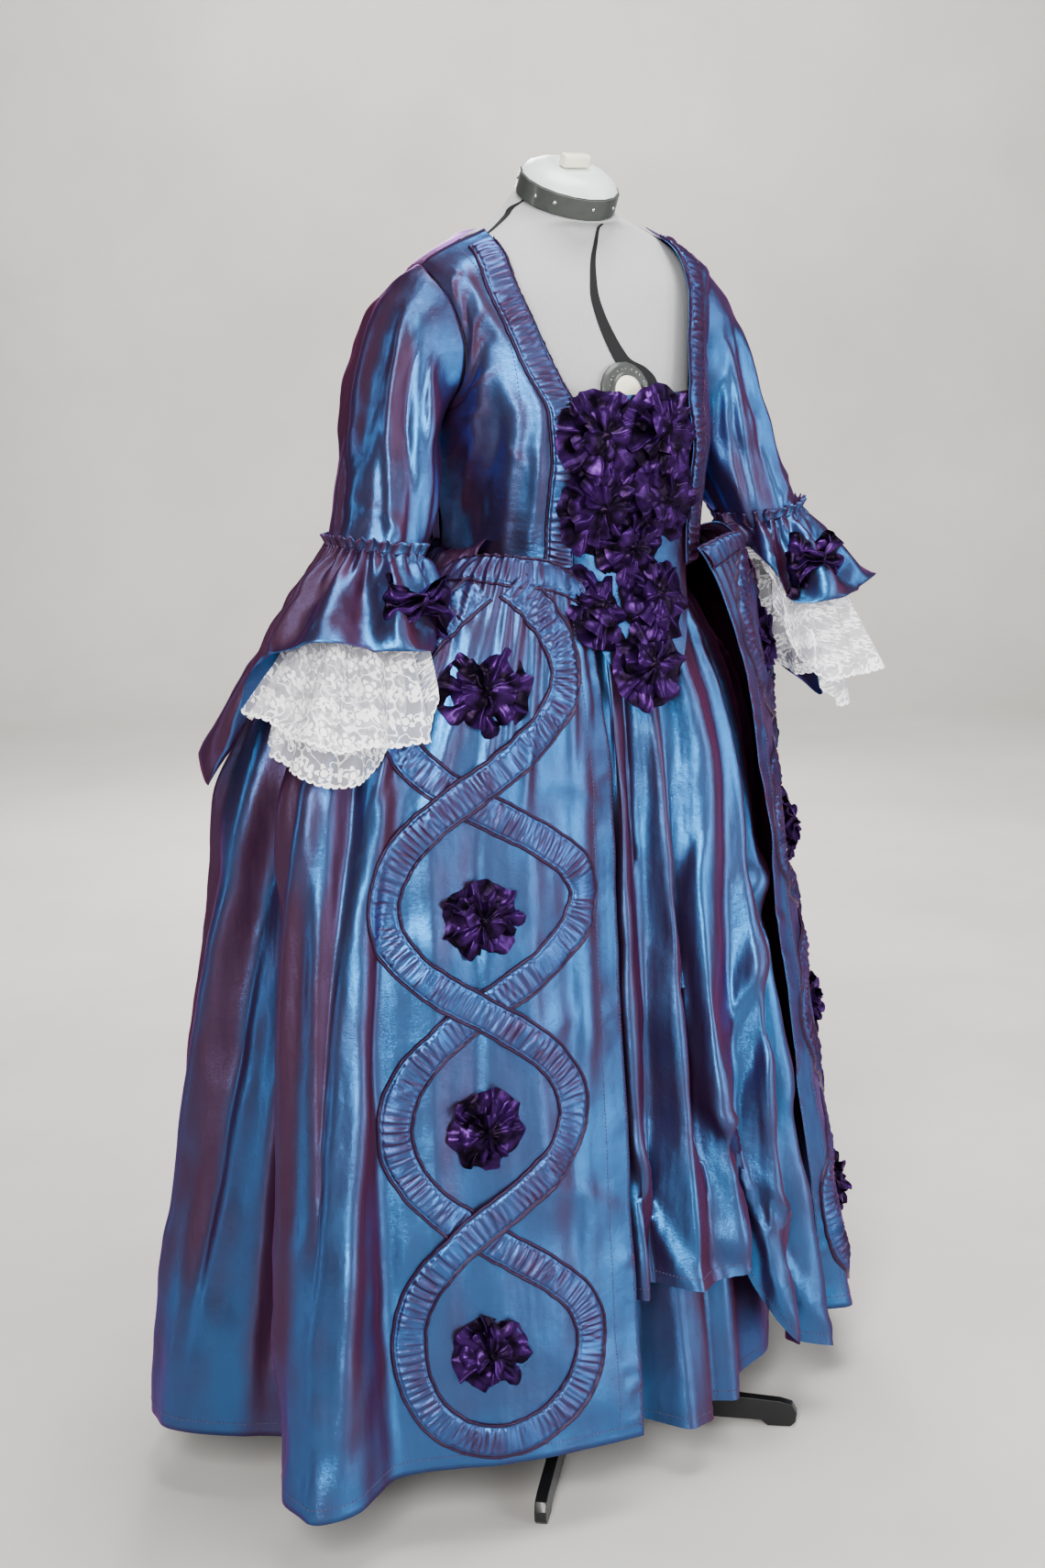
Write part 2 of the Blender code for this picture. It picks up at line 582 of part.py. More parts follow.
def build_stand(finish):
    """Pole, hub and four feet."""
    hub_top = 0.070
    pole = turned("stand_pole", [(0, 0.8495), (POLE_RADIUS, 0.8495), (POLE_RADIUS, hub_top + SEAM),
                                 (0, hub_top + SEAM)], finish, segments=16)
    pole.location = (0, 0, 0)
    turned("stand_hub", [(0, hub_top), (0.020, hub_top), (0.026, 0.060), (0.026, 0.012), (0.020, 0.008),
                         (0, 0.008)], finish, segments=16)
    outline = [(0.0263, 0.014), (0.232, 0.007), (0.240, 0.0), (0.268, 0.0), (0.2745, 0.006),
               (LEG_REACH, 0.018), (0.270, 0.029), (0.255, 0.033), (0.0263, 0.052)]
    for k, angle in enumerate((LEG_ANGLE, -LEG_ANGLE, 180 - LEG_ANGLE, LEG_ANGLE - 180)):
        flat = bpy.data.curves.new(f"stand_leg_{k + 1}", "CURVE")
        flat.dimensions = "2D"
        flat.fill_mode = "BOTH"
        flat.extrude = LEG_WIDTH / 2
        line = flat.splines.new("POLY")
        line.points.add(len(outline) - 1)
        for point, place in zip(line.points, outline):
            point.co = (*place, 0, 1)
        line.use_cyclic_u = True
        leg = bpy.data.objects.new(f"stand_leg_{k + 1}", flat)
        flat.materials.append(finish)
        MODEL.objects.link(leg)
        leg.parent = FOOTPRINT
        leg.rotation_euler = (math.radians(90), 0, math.radians(-90 - angle))


# ---------------------------------------------------------------- bodice
def opening_angle(height):
    """Angle of the bodice's front edge at a height."""
    half_width = look_up(BODICE_COLUMNS, BODICE_SECTIONS, "height", "half_width", height)
    edge = look_up(OPENING_COLUMNS, OPENING, "height", "half_width", height)
    return math.degrees(math.asin(min(1.0, edge / half_width) ** (SQUARENESS / 2)))


def seam_then_armhole(t, armhole):
    """Side of a bodice panel: the side seam up to the underarm, then the armhole to the shoulder."""
    split = 0.42
    if t < split:
        return SIDE_SEAM, mix(WAIST_SIDE, UNDERARM, t / split)
    place = (t - split) / (1 - split) * (len(armhole) - 1)
    keys = list(range(len(armhole)))
    angle = smooth(keys, column(ARMHOLE_COLUMNS, armhole, "angle"), place)
    return angle, smooth(keys, column(ARMHOLE_COLUMNS, armhole, "height"), place)


def patch(s, t, left, right, bottom, top):
    """Point inside four border curves of (angle, height) pairs."""
    corners = (bottom(0), bottom(1), top(0), top(1))
    result = []
    for k in range(2):
        ruled = mix(left(t)[k], right(t)[k], s) + mix(bottom(s)[k], top(s)[k], t)
        corner = mix(mix(corners[0][k], corners[1][k], s), mix(corners[2][k], corners[3][k], s), t)
        result.append(ruled - corner)
    return result


def bodice_front(s, t):
    """Outer face of the right bodice front: s from its front edge back, t from waist to shoulder."""
    def edge(v):
        height = mix(WAIST_FRONT, NECK_CORNER[1], v)
        return opening_angle(height), height

    def side(v):
        return seam_then_armhole(v, ARMHOLE_FRONT)

    def waist(u):
        return mix(edge(0)[0], SIDE_SEAM, u), mix(WAIST_FRONT, WAIST_SIDE, ease(u))

    def shoulder(u):
        return 90, mix(NECK_CORNER[1], SHOULDER_TIP[1], u)

    angle, height = patch(s, t, edge, side, waist, shoulder)
    return section_point(BODICE_COLUMNS, BODICE_SECTIONS, angle - 0.18, height)


def bodice_back(s, t):
    """Outer face of the bodice back: s from the wearer's right side (0) to the left side (1)."""
    half = abs(2 * s - 1)
    armhole_top = 0.88
    if t < armhole_top:
        angle, height = seam_then_armhole(t / armhole_top, ARMHOLE_BACK)
        angle += ARMHOLE_EASE * ease((t / armhole_top - 0.35) / 0.1)
    else:
        angle, height = 90, mix(SHOULDER_TIP[1], NECK_CORNER[1], (t - armhole_top) / (1 - armhole_top))
    angle = mix(180, angle, half)
    height = mix(mix(WAIST_SIDE, NECK_BACK, t), height, half)
    point = section_point(BODICE_COLUMNS, BODICE_SECTIONS, angle + 0.18, height)
    return point if s <= 0.5 else mirrored(point)


def mirrored(point):
    """The same point on the wearer's other side."""
    return Vector((-point.x, point.y, point.z))


def both_sides(build):
    """Run a builder for the wearer's right and left sides."""
    build("right", lambda point: point)
    build("left", mirrored)


def spread(count):
    """Evenly spaced numbers from 0 to 1."""
    return [k / count for k in range(count + 1)]


def grid(surface, across, along):
    """Rows of points of a surface over two lists of numbers."""
    return [[surface(u, v) for u in across] for v in along]


def build_bodice(finish):
    """Two fronts and one back, open at neck, armholes and waist."""
    rows = grid(bodice_front, spread(9), spread(12))

    def front(side, place):
        cloth(f"bodice_{side}", [[place(point) for point in row] for row in rows], finish)

    both_sides(front)
    levels = [0, 0.12, 0.25, 0.37, 0.47, 0.57, 0.67, 0.77, 0.88, 1]
    cloth("bodice_back", grid(bodice_back, spread(14), levels), finish)


def band_ring(surface, u, v, step, thick, side):
    """Four corners across a flat band that lies on a surface, from its underside to its top."""
    ring = []
    for offset, height in ((-1, LIFT), (1, LIFT), (0.8, LIFT + thick), (-0.8, LIFT + thick)):
        ring.append(lifted(surface, u + step[0] * offset, v + step[1] * offset, height, side))
    return ring


def seated_strip(rings, surface, line, side, names, gap=SEAM):
    """A strip's rings, each lifted as a whole until it stands off the named pieces."""
    outs = [[normal_of(surface, u, v) * side] * len(ring) for ring, (u, v) in zip(rings, line)]
    groups = [[k] * len(ring) for k, ring in enumerate(rings)]
    return seated(rings, outs, groups, names, gap, wrap=True, caps=True)


def build_robings(finish):
    """Ruched strips along both front edges, from waist to shoulder."""
    rings, line = [], []
    for place in spread(18):
        t = mix(0.012, 0.985, place)
        length = (bodice_front(1, t) - bodice_front(0, t)).length * 1.06
        half = ROBING_WIDTH / length / 2
        line.append((half + 0.004, t))
        rings.append(band_ring(bodice_front, half + 0.004, t, (half, 0), ROBING_THICK, -1))
    rings = seated_strip(rings, bodice_front, line, -1, ["bodice_right"])

    def robing(side, place):
        solid(f"robing_{side}", [[place(point) for point in ring] for ring in rings], finish)

    both_sides(robing)


# ---------------------------------------------------------------- sleeves
def sleeve_value(name, t):
    """One value of the sleeve at a share of its length."""
    return look_up(SLEEVE_COLUMNS, SLEEVE, "along", name, t)


def armhole_point(angle):
    """Point of the armhole: 0 at the shoulder tip, 90 in front, 180 at the underarm, 270 behind."""
    angle %= 360
    table = ARMHOLE_FRONT if angle <= 180 else ARMHOLE_BACK
    share = 1 - angle / 180 if angle <= 180 else (angle - 180) / 180
    place = share * (len(table) - 1)
    keys = list(range(len(table)))
    turn = smooth(keys, column(ARMHOLE_COLUMNS, table, "angle"), place)
    height = smooth(keys, column(ARMHOLE_COLUMNS, table, "height"), place)
    return section_point(BODICE_COLUMNS, BODICE_SECTIONS, turn, height, grow=SEAM + 0.0004)


def sleeve(u, t):
    """Outer face of the right sleeve: u once round from its top, t from shoulder to elbow."""
    angle = 2 * math.pi * u
    outer = Vector((-sleeve_value("outer", t), sleeve_value("middle", t), sleeve_value("outer_height", t)))
    inner = Vector((-sleeve_value("inner", t), sleeve_value("middle", t), sleeve_value("inner_height", t)))
    depth = Vector((0, -sleeve_value("half_depth", t), 0))
    swell = math.sin(math.pi * t) * SLEEVE_FOLD_DEPTH * math.sin(SLEEVE_FOLDS * angle + 5 * t)
    reach = 1 + swell / depth.length
    ring = (outer + inner) / 2 + ((outer - inner) / 2 * math.cos(angle) + depth * math.sin(angle)) * reach
    return armhole_point(math.degrees(angle)).lerp(ring, ease(t / 0.22))


def build_sleeves(finish):
    """Elbow-length sleeves set into the armholes."""
    rows = grid(sleeve, spread(18)[:-1], spread(10))

    def one(side, place):
        def arm(point):
            share = min(max((1.40 - point.z) / 0.30, 0), 1)
            return place(Vector((-mix(0.20, 0.285, share), -0.03 * share, point.z)))

        placed = [[place(point) for point in row] for row in rows]
        cloth(f"sleeve_{side}", placed, finish, wrap=True, centre=arm)

    both_sides(one)


def flounce(table, waves, wave_depth, start, start_gap, hem_radius, hem_level):
    """A gathered flounce: u once round from the front over the outer side, t from its seam down.

    start is the share of the sleeve where it is sewn on, start_gap how far it stands off there.
    """
    angles = column(FLOUNCE_COLUMNS, table, "angle") + [360]

    def value(name, angle):
        values = column(FLOUNCE_COLUMNS, table, name)
        return smooth(angles, values + values[:1], angle % 360)

    def surface(u, t):
        angle = 360 * u
        wave = wave_depth * t * math.sin(math.radians(waves * angle + 60))
        radial = Vector((-math.sin(math.radians(angle)), -math.cos(math.radians(angle)), 0))
        seam = sleeve((0.25 - u) % 1, start) + radial * start_gap
        hem = Vector(CUFF_CENTRE) + radial * (hem_radius + value("flare", angle))
        hem.x -= 2 * CUFF_CENTRE[0]
        hem.z = hem_level - value("drop", angle)
        point = seam.lerp(hem, t ** 0.9) + radial * wave
        point.z = mix(seam.z, hem.z, t)
        return point

    return surface


def away_from_hip(point):
    """Level way out from the middle of the hip on the point's own side."""
    middle = Vector((math.copysign(HIP_MIDDLE[0], point.x), HIP_MIDDLE[1], point.z))
    return (point - middle).normalized()


def build_flounces(cuff_finish, lace_finish):
    """At each elbow: two layers of lace, then the taffeta flounce over them."""
    lace_level = CUFF_CENTRE[2] - 0.024
    lower = flounce(FLOUNCE_LOWER, 6, 0.0050, 1.0, -0.0032, CUFF_RADIUS - 0.0145, lace_level)
    upper = flounce(FLOUNCE_LACE, 7, 0.0060, 1.0, -0.0015, CUFF_RADIUS - 0.0075, lace_level + 0.002)
    cuff_level = CUFF_CENTRE[2] + 0.012
    over = flounce(FLOUNCE_CUFF, 7, 0.0085, 0.93, CLOTH + 2 * SEAM, CUFF_RADIUS + 0.0030, cuff_level)
    layers = (
        ("lace_lower", lower, 26, LACE, lace_finish),
        ("lace_upper", upper, 28, LACE, lace_finish),
        ("cuff", over, 32, CLOTH, cuff_finish),
    )
    for side, place in (("right", lambda point: point), ("left", mirrored)):
        names = [f"skirt_{side}", f"waist_band_{side}", f"serpentine_{side}", f"rosette_{side}_1"]

        def elbow(point):
            return place(Vector((-CUFF_CENTRE[0], CUFF_CENTRE[1], point.z)))

        for name, surface, around, thick, finish in layers:
            rows = [[place(point) for point in row] for row in grid(surface, spread(around)[:-1], spread(3))]
            if name.startswith("lace"):
                for point in rows[0]:
                    point.z -= LACE_DROP
            ways = [away_from_hip(point) for point in rows[-1]]
            outs = [[way * math.sqrt(r / (len(rows) - 1)) for way in ways] for r in range(len(rows))]
            groups = [list(range(around))] * len(rows)
            rows = seated(rows, outs, groups, names, 1.6 * (thick + SEAM), wrap=True, caps=False)
            cloth(f"{name}_{side}", rows, finish, wrap=True, thick=thick, centre=elbow)
            names.append(f"{name}_{side}")


def build_bows(finish):
    """A flat bow at the front of each cuff."""
    middle = Vector((-0.284, -0.097, 1.062))
    ring_points = 10

    def one(side, place):
        rings = []
        for across, half_height, thick in BOW:
            ring = []
            for k in range(ring_points):
                angle = 2 * math.pi * k / ring_points
                back = -thick * (0.5 + 0.5 * math.cos(angle))
                upright = half_height * math.sin(angle) - across * BOW_SLOPE
                ring.append(place(middle + Vector((across, back, upright))))
            rings.append(ring)
        outs = [[Vector((0, -1, 0))] * ring_points] * len(rings)
        groups = [[k] * ring_points for k in range(len(rings))]
        rings = seated(rings, outs, groups, [f"cuff_{side}"], SEAM, wrap=True, caps=True)
        solid(f"bow_{side}", rings, finish)

    both_sides(one)


# ---------------------------------------------------------------- skirts
DOME = 0.34                 # share of the way down that the slope over the hip takes
DOME_POWER = 1.6            # 1 gives a round hip, 2 a straight slope


def fold_line(top, hip, hem, t):
    """Point of one fold: a slope over the hip, then straight to the hem."""
    if t < DOME:
        turn = math.radians(90) * t / DOME
        out = math.sin(turn) ** DOME_POWER
        drop = 1 - math.cos(turn) ** DOME_POWER
        return Vector((mix(top.x, hip.x, out), mix(top.y, hip.y, out), mix(top.z, hip.z, drop)))
    return hip.lerp(hem, (t - DOME) / (1 - DOME))


def skirt_surface(folds):
    """Outer face of a skirt side: u counts its folds, t runs from waist to hem."""
    def surface(u, t):
        keys = list(range(len(folds)))
        row = [smooth(keys, column(FOLD_COLUMNS, folds, name), u) for name in FOLD_COLUMNS]
        top = Vector(row[0:3])
        hip = Vector((row[3], row[4], HIP_HEIGHT))
        hem = Vector(row[5:8])
        return fold_line(top, hip, hem, t)
    return surface


skirt_right = skirt_surface(RIGHT_FOLDS)
skirt_left = skirt_surface(LEFT_FOLDS)
LEVELS = [DOME * k / 5 for k in range(5)] + [DOME + (1 - DOME) * k / 4 for k in range(5)]


def build_skirts(finish):
    """The two open skirt fronts with their sides, from front edge to sack back."""
    for side, surface, folds in (("right", skirt_right, RIGHT_FOLDS), ("left", skirt_left, LEFT_FOLDS)):
        across = [k / 2 for k in range(2 * len(folds) - 1)]
        cloth(f"skirt_{side}", grid(surface, across, LEVELS), finish)


def sack_back(s, t):
    """Outer face of the sack back: s from -1 to 1, t from 0 at the neck, 1 at the waist, to 2 at the hem."""
    if t < 1:
        height = mix(SACK[0][0], SACK[-1][0], t)
        half_width = look_up(SACK_COLUMNS, SACK, "height", "half_width", height)
        middle = look_up(SACK_COLUMNS, SACK, "height", "middle", height)
        edge = look_up(SACK_COLUMNS, SACK, "height", "edge", height)
        point = Vector((half_width * s, edge, height))
        bulge = middle - edge
    else:
        right = skirt_right(len(RIGHT_FOLDS) - 1, t - 1)
        left = skirt_left(len(LEFT_FOLDS) - 1, t - 1)
        point = right.lerp(left, (s + 1) / 2)
        waist_bulge = SACK[-1][2] - SACK[-1][3]
        bulge = smooth([0, DOME, 1], [waist_bulge, SACK_BULGE_HIP, SACK_BULGE_HEM], t - 1)
    inward = 1 - (SEAM + 0.0004) / max(abs(point.x), 0.05)
    round_back = bulge * (1 - s * s)
    pleat = SACK_PLEAT_DEPTH * (1 + 0.9 * max(t - 1, 0)) * ease(t / 0.10 + 0.4)
    ridge = pleat * (0.5 - 0.5 * math.cos(2 * math.pi * SACK_PLEATS * (s + 1) / 2)) * ease((1 - abs(s)) / 0.2)
    return Vector((point.x * inward, point.y + round_back + ridge, point.z))


def build_sack(finish):
    """The pleated back that hangs free from the neck and runs into the skirt."""
    along = [0, 0.1, 0.2, 0.4, 0.6, 0.8] + [1 + level for level in LEVELS]
    cloth("sack_back", grid(sack_back, [2 * place - 1 for place in spread(16)], along), finish)


def ring_surface(columns, table, top_size, knee):
    """Outer face of a closed petticoat: u counts its folds right round, t from waist to hem."""
    height, half_width, front, back = top_size

    def value(name, u):
        values = column(columns, table, name)
        count = len(values)
        turn = 360 if name == "top_angle" else 0
        keys = list(range(-2, count + 3))
        around = [values[k % count] + turn * (k // count) for k in keys]
        return smooth(keys, around, u % count) + turn * (u // count)

    def surface(u, t):
        top = rounded_point(half_width, front, back, -value("top_angle", u), height)
        hip = Vector((value("hip_x", u), value("hip_y", u), HIP_HEIGHT))
        hem = Vector((value("hem_x", u), value("hem_y", u), value("hem_z", u)))
        if not knee or t < DOME:
            return fold_line(top, hip, hem, t)
        low = Vector((value("knee_x", u), value("knee_y", u), KNEE_HEIGHT))
        split = mix(DOME, 1, KNEE_SHARE)
        if t < split:
            return hip.lerp(low, (t - DOME) / (split - DOME))
        return low.lerp(hem, (t - split) / (1 - split))

    return surface


def half_steps(count):
    """Fold rows from 0 up to a count, with one more row halfway between each two."""
    return [k / 2 for k in range(2 * count)]


def build_petticoats(finish):
    """The petticoat with its caught-up edge, and the one under it."""
    outer = ring_surface(PETTICOAT_COLUMNS, PETTICOAT, PETTICOAT_TOP, knee=True)
    around = half_steps(PETTICOAT_SHOWN) + list(range(PETTICOAT_SHOWN, len(PETTICOAT)))
    levels = [DOME * k / 4 for k in range(4)] + [DOME + (1 - DOME) * KNEE_SHARE * k / 2 for k in range(3)]
    levels += [DOME + (1 - DOME) * mix(KNEE_SHARE, 1, k / 3) for k in (1, 2, 3)]
    cloth("petticoat", grid(outer, around, levels), finish, wrap=True)
    under = ring_surface(UNDERSKIRT_COLUMNS, UNDERSKIRT, UNDERSKIRT_TOP, knee=False)
    around = half_steps(UNDERSKIRT_SHOWN) + list(range(UNDERSKIRT_SHOWN, len(UNDERSKIRT)))
    levels = [DOME * k / 3 for k in range(3)] + [DOME, mix(DOME, 1, 0.5), 1.0]
    cloth("underskirt", grid(under, around, levels), finish, wrap=True)


# ---------------------------------------------------------------- trims of the skirt
def way_down(surface, u, distance):
    """Share t at which a fold line has run a distance from its top."""
    t, run, step = 0.0, 0.0, 0.004
    point = surface(u, 0)
    while run < distance and t < 1:
        after = surface(u, t + step)
        run += (after - point).length
        point = after
        t += step
    return t


def level_share(surface, u, height):
    """Share t at which a fold line reaches a height."""
    low, high = 0.0, 1.0
    for _ in range(30):
        middle = (low + high) / 2
        if surface(u, middle).z > height:
            low = middle
        else:
            high = middle
    return low


def build_waist_bands(finish):
    """Ruched bands on the skirt fronts, along the waist and on over the hips."""
    for side, surface, sign, last in (("right", skirt_right, 1, 6.2), ("left", skirt_left, -1, 5.0)):
        rings, line = [], []
        for share in spread(16):
            u = mix(0.05, last, share)
            top = way_down(surface, u, BAND_DOWN)
            half = (way_down(surface, u, BAND_DOWN + BAND_WIDTH) - top) / 2
            line.append((u, top + half))
            rings.append(band_ring(surface, u, top + half, (0, half), BAND_THICK, sign))
        rings = seated_strip(rings, surface, line, sign, [f"skirt_{side}"])
        solid(f"waist_band_{side}", rings, finish)


def ribbon_path():
    """Middle line of the ribbon as (share of the panel, height, strand): down one way, up the other."""
    heights = (RIBBON_TOP,) + RIBBON_CROSSINGS
    down = []
    swing = 1
    for loop, (start, end) in enumerate(zip(heights, heights[1:])):
        first_turn = 0.20 if loop == 0 else 0.0
        for k in range(RIBBON_STEPS):
            turn = mix(first_turn, 1.0, k / RIBBON_STEPS)
            down.append((swing * math.sin(math.pi * turn), mix(start, end, k / RIBBON_STEPS)))
        swing = -swing
    last = RIBBON_CROSSINGS[-1]
    belly = mix(last, RIBBON_BOTTOM, 0.52)
    for k in range(RIBBON_STEPS // 2):
        turn = k / RIBBON_STEPS
        down.append((swing * math.sin(math.pi * turn), mix(last, belly, 2 * turn)))
    for k in range(RIBBON_STEPS // 2):
        turn = math.pi / 2 * k / (RIBBON_STEPS // 2)
        down.append((swing * math.cos(turn), mix(belly, RIBBON_BOTTOM, math.sin(turn))))
    path = [(mid, height, 1) for mid, height in down]
    path.append((0.0, RIBBON_BOTTOM, 0))
    path += [(-mid, height, -1) for mid, height in reversed(down)]
    return path


def build_ribbons(finish):
    """One ruched ribbon on each skirt front, crossing itself three times."""
    for side, surface, sign in (("right", skirt_right, 1), ("left", skirt_left, -1)):
        def on_panel(share, height):
            u = share * PANEL_FOLDS
            return surface(u, level_share(surface, u, height))

        middles = []
        for swing, height, strand in ribbon_path():
            middle = look_up(RIBBON_LINE_COLUMNS, RIBBON_LINE, "height", "middle", height)
            share = middle - swing * look_up(RIBBON_LINE_COLUMNS, RIBBON_LINE, "height", "swing", height)
            near = min(abs(height - crossing) for crossing in RIBBON_CROSSINGS)
            over = RIBBON_HOP * math.exp(-(near / RIBBON_HOP_RUN) ** 2) if strand > 0 else 0.0
            middles.append((share, height, over))
        rings, outs = [], []
        for k, (share, height, over) in enumerate(middles):
            before = middles[max(k - 1, 0)]
            after = middles[min(k + 1, len(middles) - 1)]
            run = on_panel(after[0], after[1]) - on_panel(before[0], before[1])
            out = normal_of(on_panel, share, height, 0.01) * -sign
            cross = run.cross(out).normalized() * RIBBON_WIDTH / 2
            across, down = steps_on_panel(on_panel, share, height, cross)
            ring = []
            for offset, lift in ((-1, 0), (1, 0), (0.82, 1), (0, 1.25), (-0.82, 1)):
                foot = on_panel(share + across * offset, height + down * offset)
                ring.append(foot + out * (LIFT + over + lift * RIBBON_THICK))
            rings.append(ring)
            outs.append([out] * len(ring))
        groups = [[k] * len(ring) for k, ring in enumerate(rings)]
        rings = seated(rings, outs, groups, [f"skirt_{side}"], SEAM, wrap=True, caps=True)
        solid(f"serpentine_{side}", rings, finish)


def steps_on_panel(on_panel, share, height, step):
    """Changes of share and height that move a point of the panel by a step along it."""
    across = (on_panel(share + 0.01, height) - on_panel(share - 0.01, height)) / 0.02
    down = (on_panel(share, height + 0.01) - on_panel(share, height - 0.01)) / 0.02
    aa, ad, dd = across.dot(across), across.dot(down), down.dot(down)
    sa, sd = step.dot(across), step.dot(down)
    size = aa * dd - ad * ad
    return (sa * dd - sd * ad) / size, (sd * aa - sa * ad) / size


# ---------------------------------------------------------------- stomacher and rosettes
def stomacher_point(x, z):
    """Outer face of the stomacher."""
    depth = look_up(STOMACHER_COLUMNS, STOMACHER, "height", "depth", z)
    under_edge = max(abs(x) - STOMACHER_FLAT, 0) * STOMACHER_TUCK
    return Vector((x, depth + STOMACHER_CURVE * x * x + under_edge, z))


def build_stomacher(finish):
    """The flat front piece, straight above and rounded to a tab below the waist."""
    rows = []
    heights = [mix(STOMACHER[0][0], STOMACHER[4][0], k / 7) for k in range(7)]
    heights += column(STOMACHER_COLUMNS, STOMACHER, "height")[4:]
    for height in heights:
        half_width = look_up(STOMACHER_COLUMNS, STOMACHER, "height", "half_width", height)
        rows.append([stomacher_point(half_width * (2 * s - 1), height) for s in spread(10)])
    cloth("stomacher", rows, finish)


def rosette(name, on_surface, out, middle, radius, neighbours, turn, below, finish):
    """A gathered rosette: a puffed disc with petals, flattened where it meets its neighbours."""
    segments = 2 * ROSETTE_PETALS
    rows, groups = [], []
    for r, (share, height) in enumerate(ROSETTE_PROFILE):
        row, group = [], []
        for k in range(segments):
            angle = 2 * math.pi * k / segments + turn
            reach = radius * (1 + 0.08 * (-1) ** k)
            for other in neighbours:
                apart = Vector(other) - Vector(middle)
                facing = (math.cos(angle) * apart.x + math.sin(angle) * apart.y) / apart.length
                if facing > 0.05:
                    reach = min(reach, (apart.length / 2 - 0.0012) / facing)
            wave = 1 + 0.25 * (-1) ** k * share
            x = middle[0] + reach * share * math.cos(angle)
            z = middle[1] + reach * share * math.sin(angle)
            lift = LIFT + ROSETTE_HEIGHT * height * (wave if height > 0 else 1)
            row.append(on_surface(x, z) + out * lift)
            group.append(k if r in (1, 2) else segments * (r + 1) + k)
        rows.append(row)
        groups.append(group)
    outs = [[out] * segments] * len(rows)
    rows = seated(rows, outs, groups, below, SEAM, wrap=True, caps=True)
    solid(name, rows, finish)


def build_stomacher_rosettes(finish):
    """Eight rosettes that cover the stomacher."""
    places = [(across, height) for across, height, _ in STOMACHER_ROSETTES]
    below = ["stomacher", "bodice_right", "bodice_left", "robing_right", "robing_left"]
    below += ["skirt_right", "waist_band_right", "skirt_left", "waist_band_left"]
    for k, (across, height, radius) in enumerate(STOMACHER_ROSETTES):
        here = (across, height)
        others = [place for place in places if place != here and math.dist(place, here) < 0.11]
        name, turn, forward = f"rosette_front_{k + 1}", 0.4 * k, Vector((0, -1, 0))
        rosette(name, stomacher_point, forward, here, radius, others, turn, below, finish)


def build_skirt_rosettes(finish):
    """Four rosettes down each skirt front, one in each loop of the ribbon."""
    for side, surface, sign in (("right", skirt_right, 1), ("left", skirt_left, -1)):
        below = [f"skirt_{side}", f"serpentine_{side}", f"waist_band_{side}"]
        for k, (share, height, radius) in enumerate(SKIRT_ROSETTES):
            u = share * PANEL_FOLDS
            t = level_share(surface, u, height)
            out = normal_of(surface, u, t, 0.02) * sign
            centre = surface(u, t)
            across = Vector((out.y, -out.x, 0)).normalized()

            def on_surface(x, z):
                return side_point(surface, u, centre + across * x, centre.z + z)

            rosette(f"rosette_{side}_{k + 1}", on_surface, out, (0, 0), radius, (), 0.42 * k, below, finish)


def side_point(surface, u, point, height):
    """Point of a skirt surface at a height, beside a point."""
    def at(place):
        return surface(place, level_share(surface, place, height))

    best = u
    for _ in range(6):
        here = at(best)
        along = (at(best + 0.05) - at(best - 0.05)) / 0.1
        flat = Vector((along.x, along.y, 0))
        best += (Vector((point.x, point.y, 0)) - Vector((here.x, here.y, 0))).dot(flat) / flat.length_squared
    return at(best)


# ---------------------------------------------------------------- assembly
clear_scene()
MODEL = bpy.data.collections.new(NAME)
bpy.context.scene.collection.children.link(MODEL)
FOOTPRINT = bpy.data.objects.new("footprint", None)
MODEL.objects.link(FOOTPRINT)
FOOTPRINT.location = FOOTPRINT_SHIFT

TAFFETA = material("shot_taffeta", (0.10, 0.26, 0.48), 0.38, 0.35)
RUCHING = material("ruched_taffeta", (0.13, 0.20, 0.42), 0.42, 0.35)
ROSETTE_SILK = material("rosette_taffeta", (0.055, 0.018, 0.14), 0.45, 0.2)
LACE_THREAD = material("lace", (0.82, 0.82, 0.86), 0.8)
FORM_CLOTH = material("form_jersey", (0.42, 0.42, 0.43), 0.9)
CAP_PLASTIC = material("cap_plastic", (0.62, 0.70, 0.68), 0.35)
KNOB_PLASTIC = material("knob_plastic", (0.78, 0.74, 0.62), 0.4)
COLLAR_PLASTIC = material("collar_plastic", (0.09, 0.09, 0.10), 0.45)
STAND_STEEL = material("stand_paint", (0.015, 0.015, 0.017), 0.4)

build_form(FORM_CLOTH)
build_neck_fittings(COLLAR_PLASTIC, CAP_PLASTIC, KNOB_PLASTIC)
build_dial(COLLAR_PLASTIC)
build_stand(STAND_STEEL)
build_bodice(TAFFETA)
build_robings(RUCHING)
build_skirts(TAFFETA)
build_sack(TAFFETA)
build_petticoats(TAFFETA)
build_waist_bands(RUCHING)
build_ribbons(RUCHING)
build_skirt_rosettes(ROSETTE_SILK)
build_stomacher(TAFFETA)
build_stomacher_rosettes(ROSETTE_SILK)
build_sleeves(TAFFETA)
build_flounces(TAFFETA, LACE_THREAD)
build_bows(ROSETTE_SILK)
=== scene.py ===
"""Robe a la francaise of shot taffeta on a dress form: the looks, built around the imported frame."""
import math
import random

import bmesh
import bpy
import numpy as np
from mathutils import Euler, Matrix, Vector, noise
from mathutils.bvhtree import BVHTree


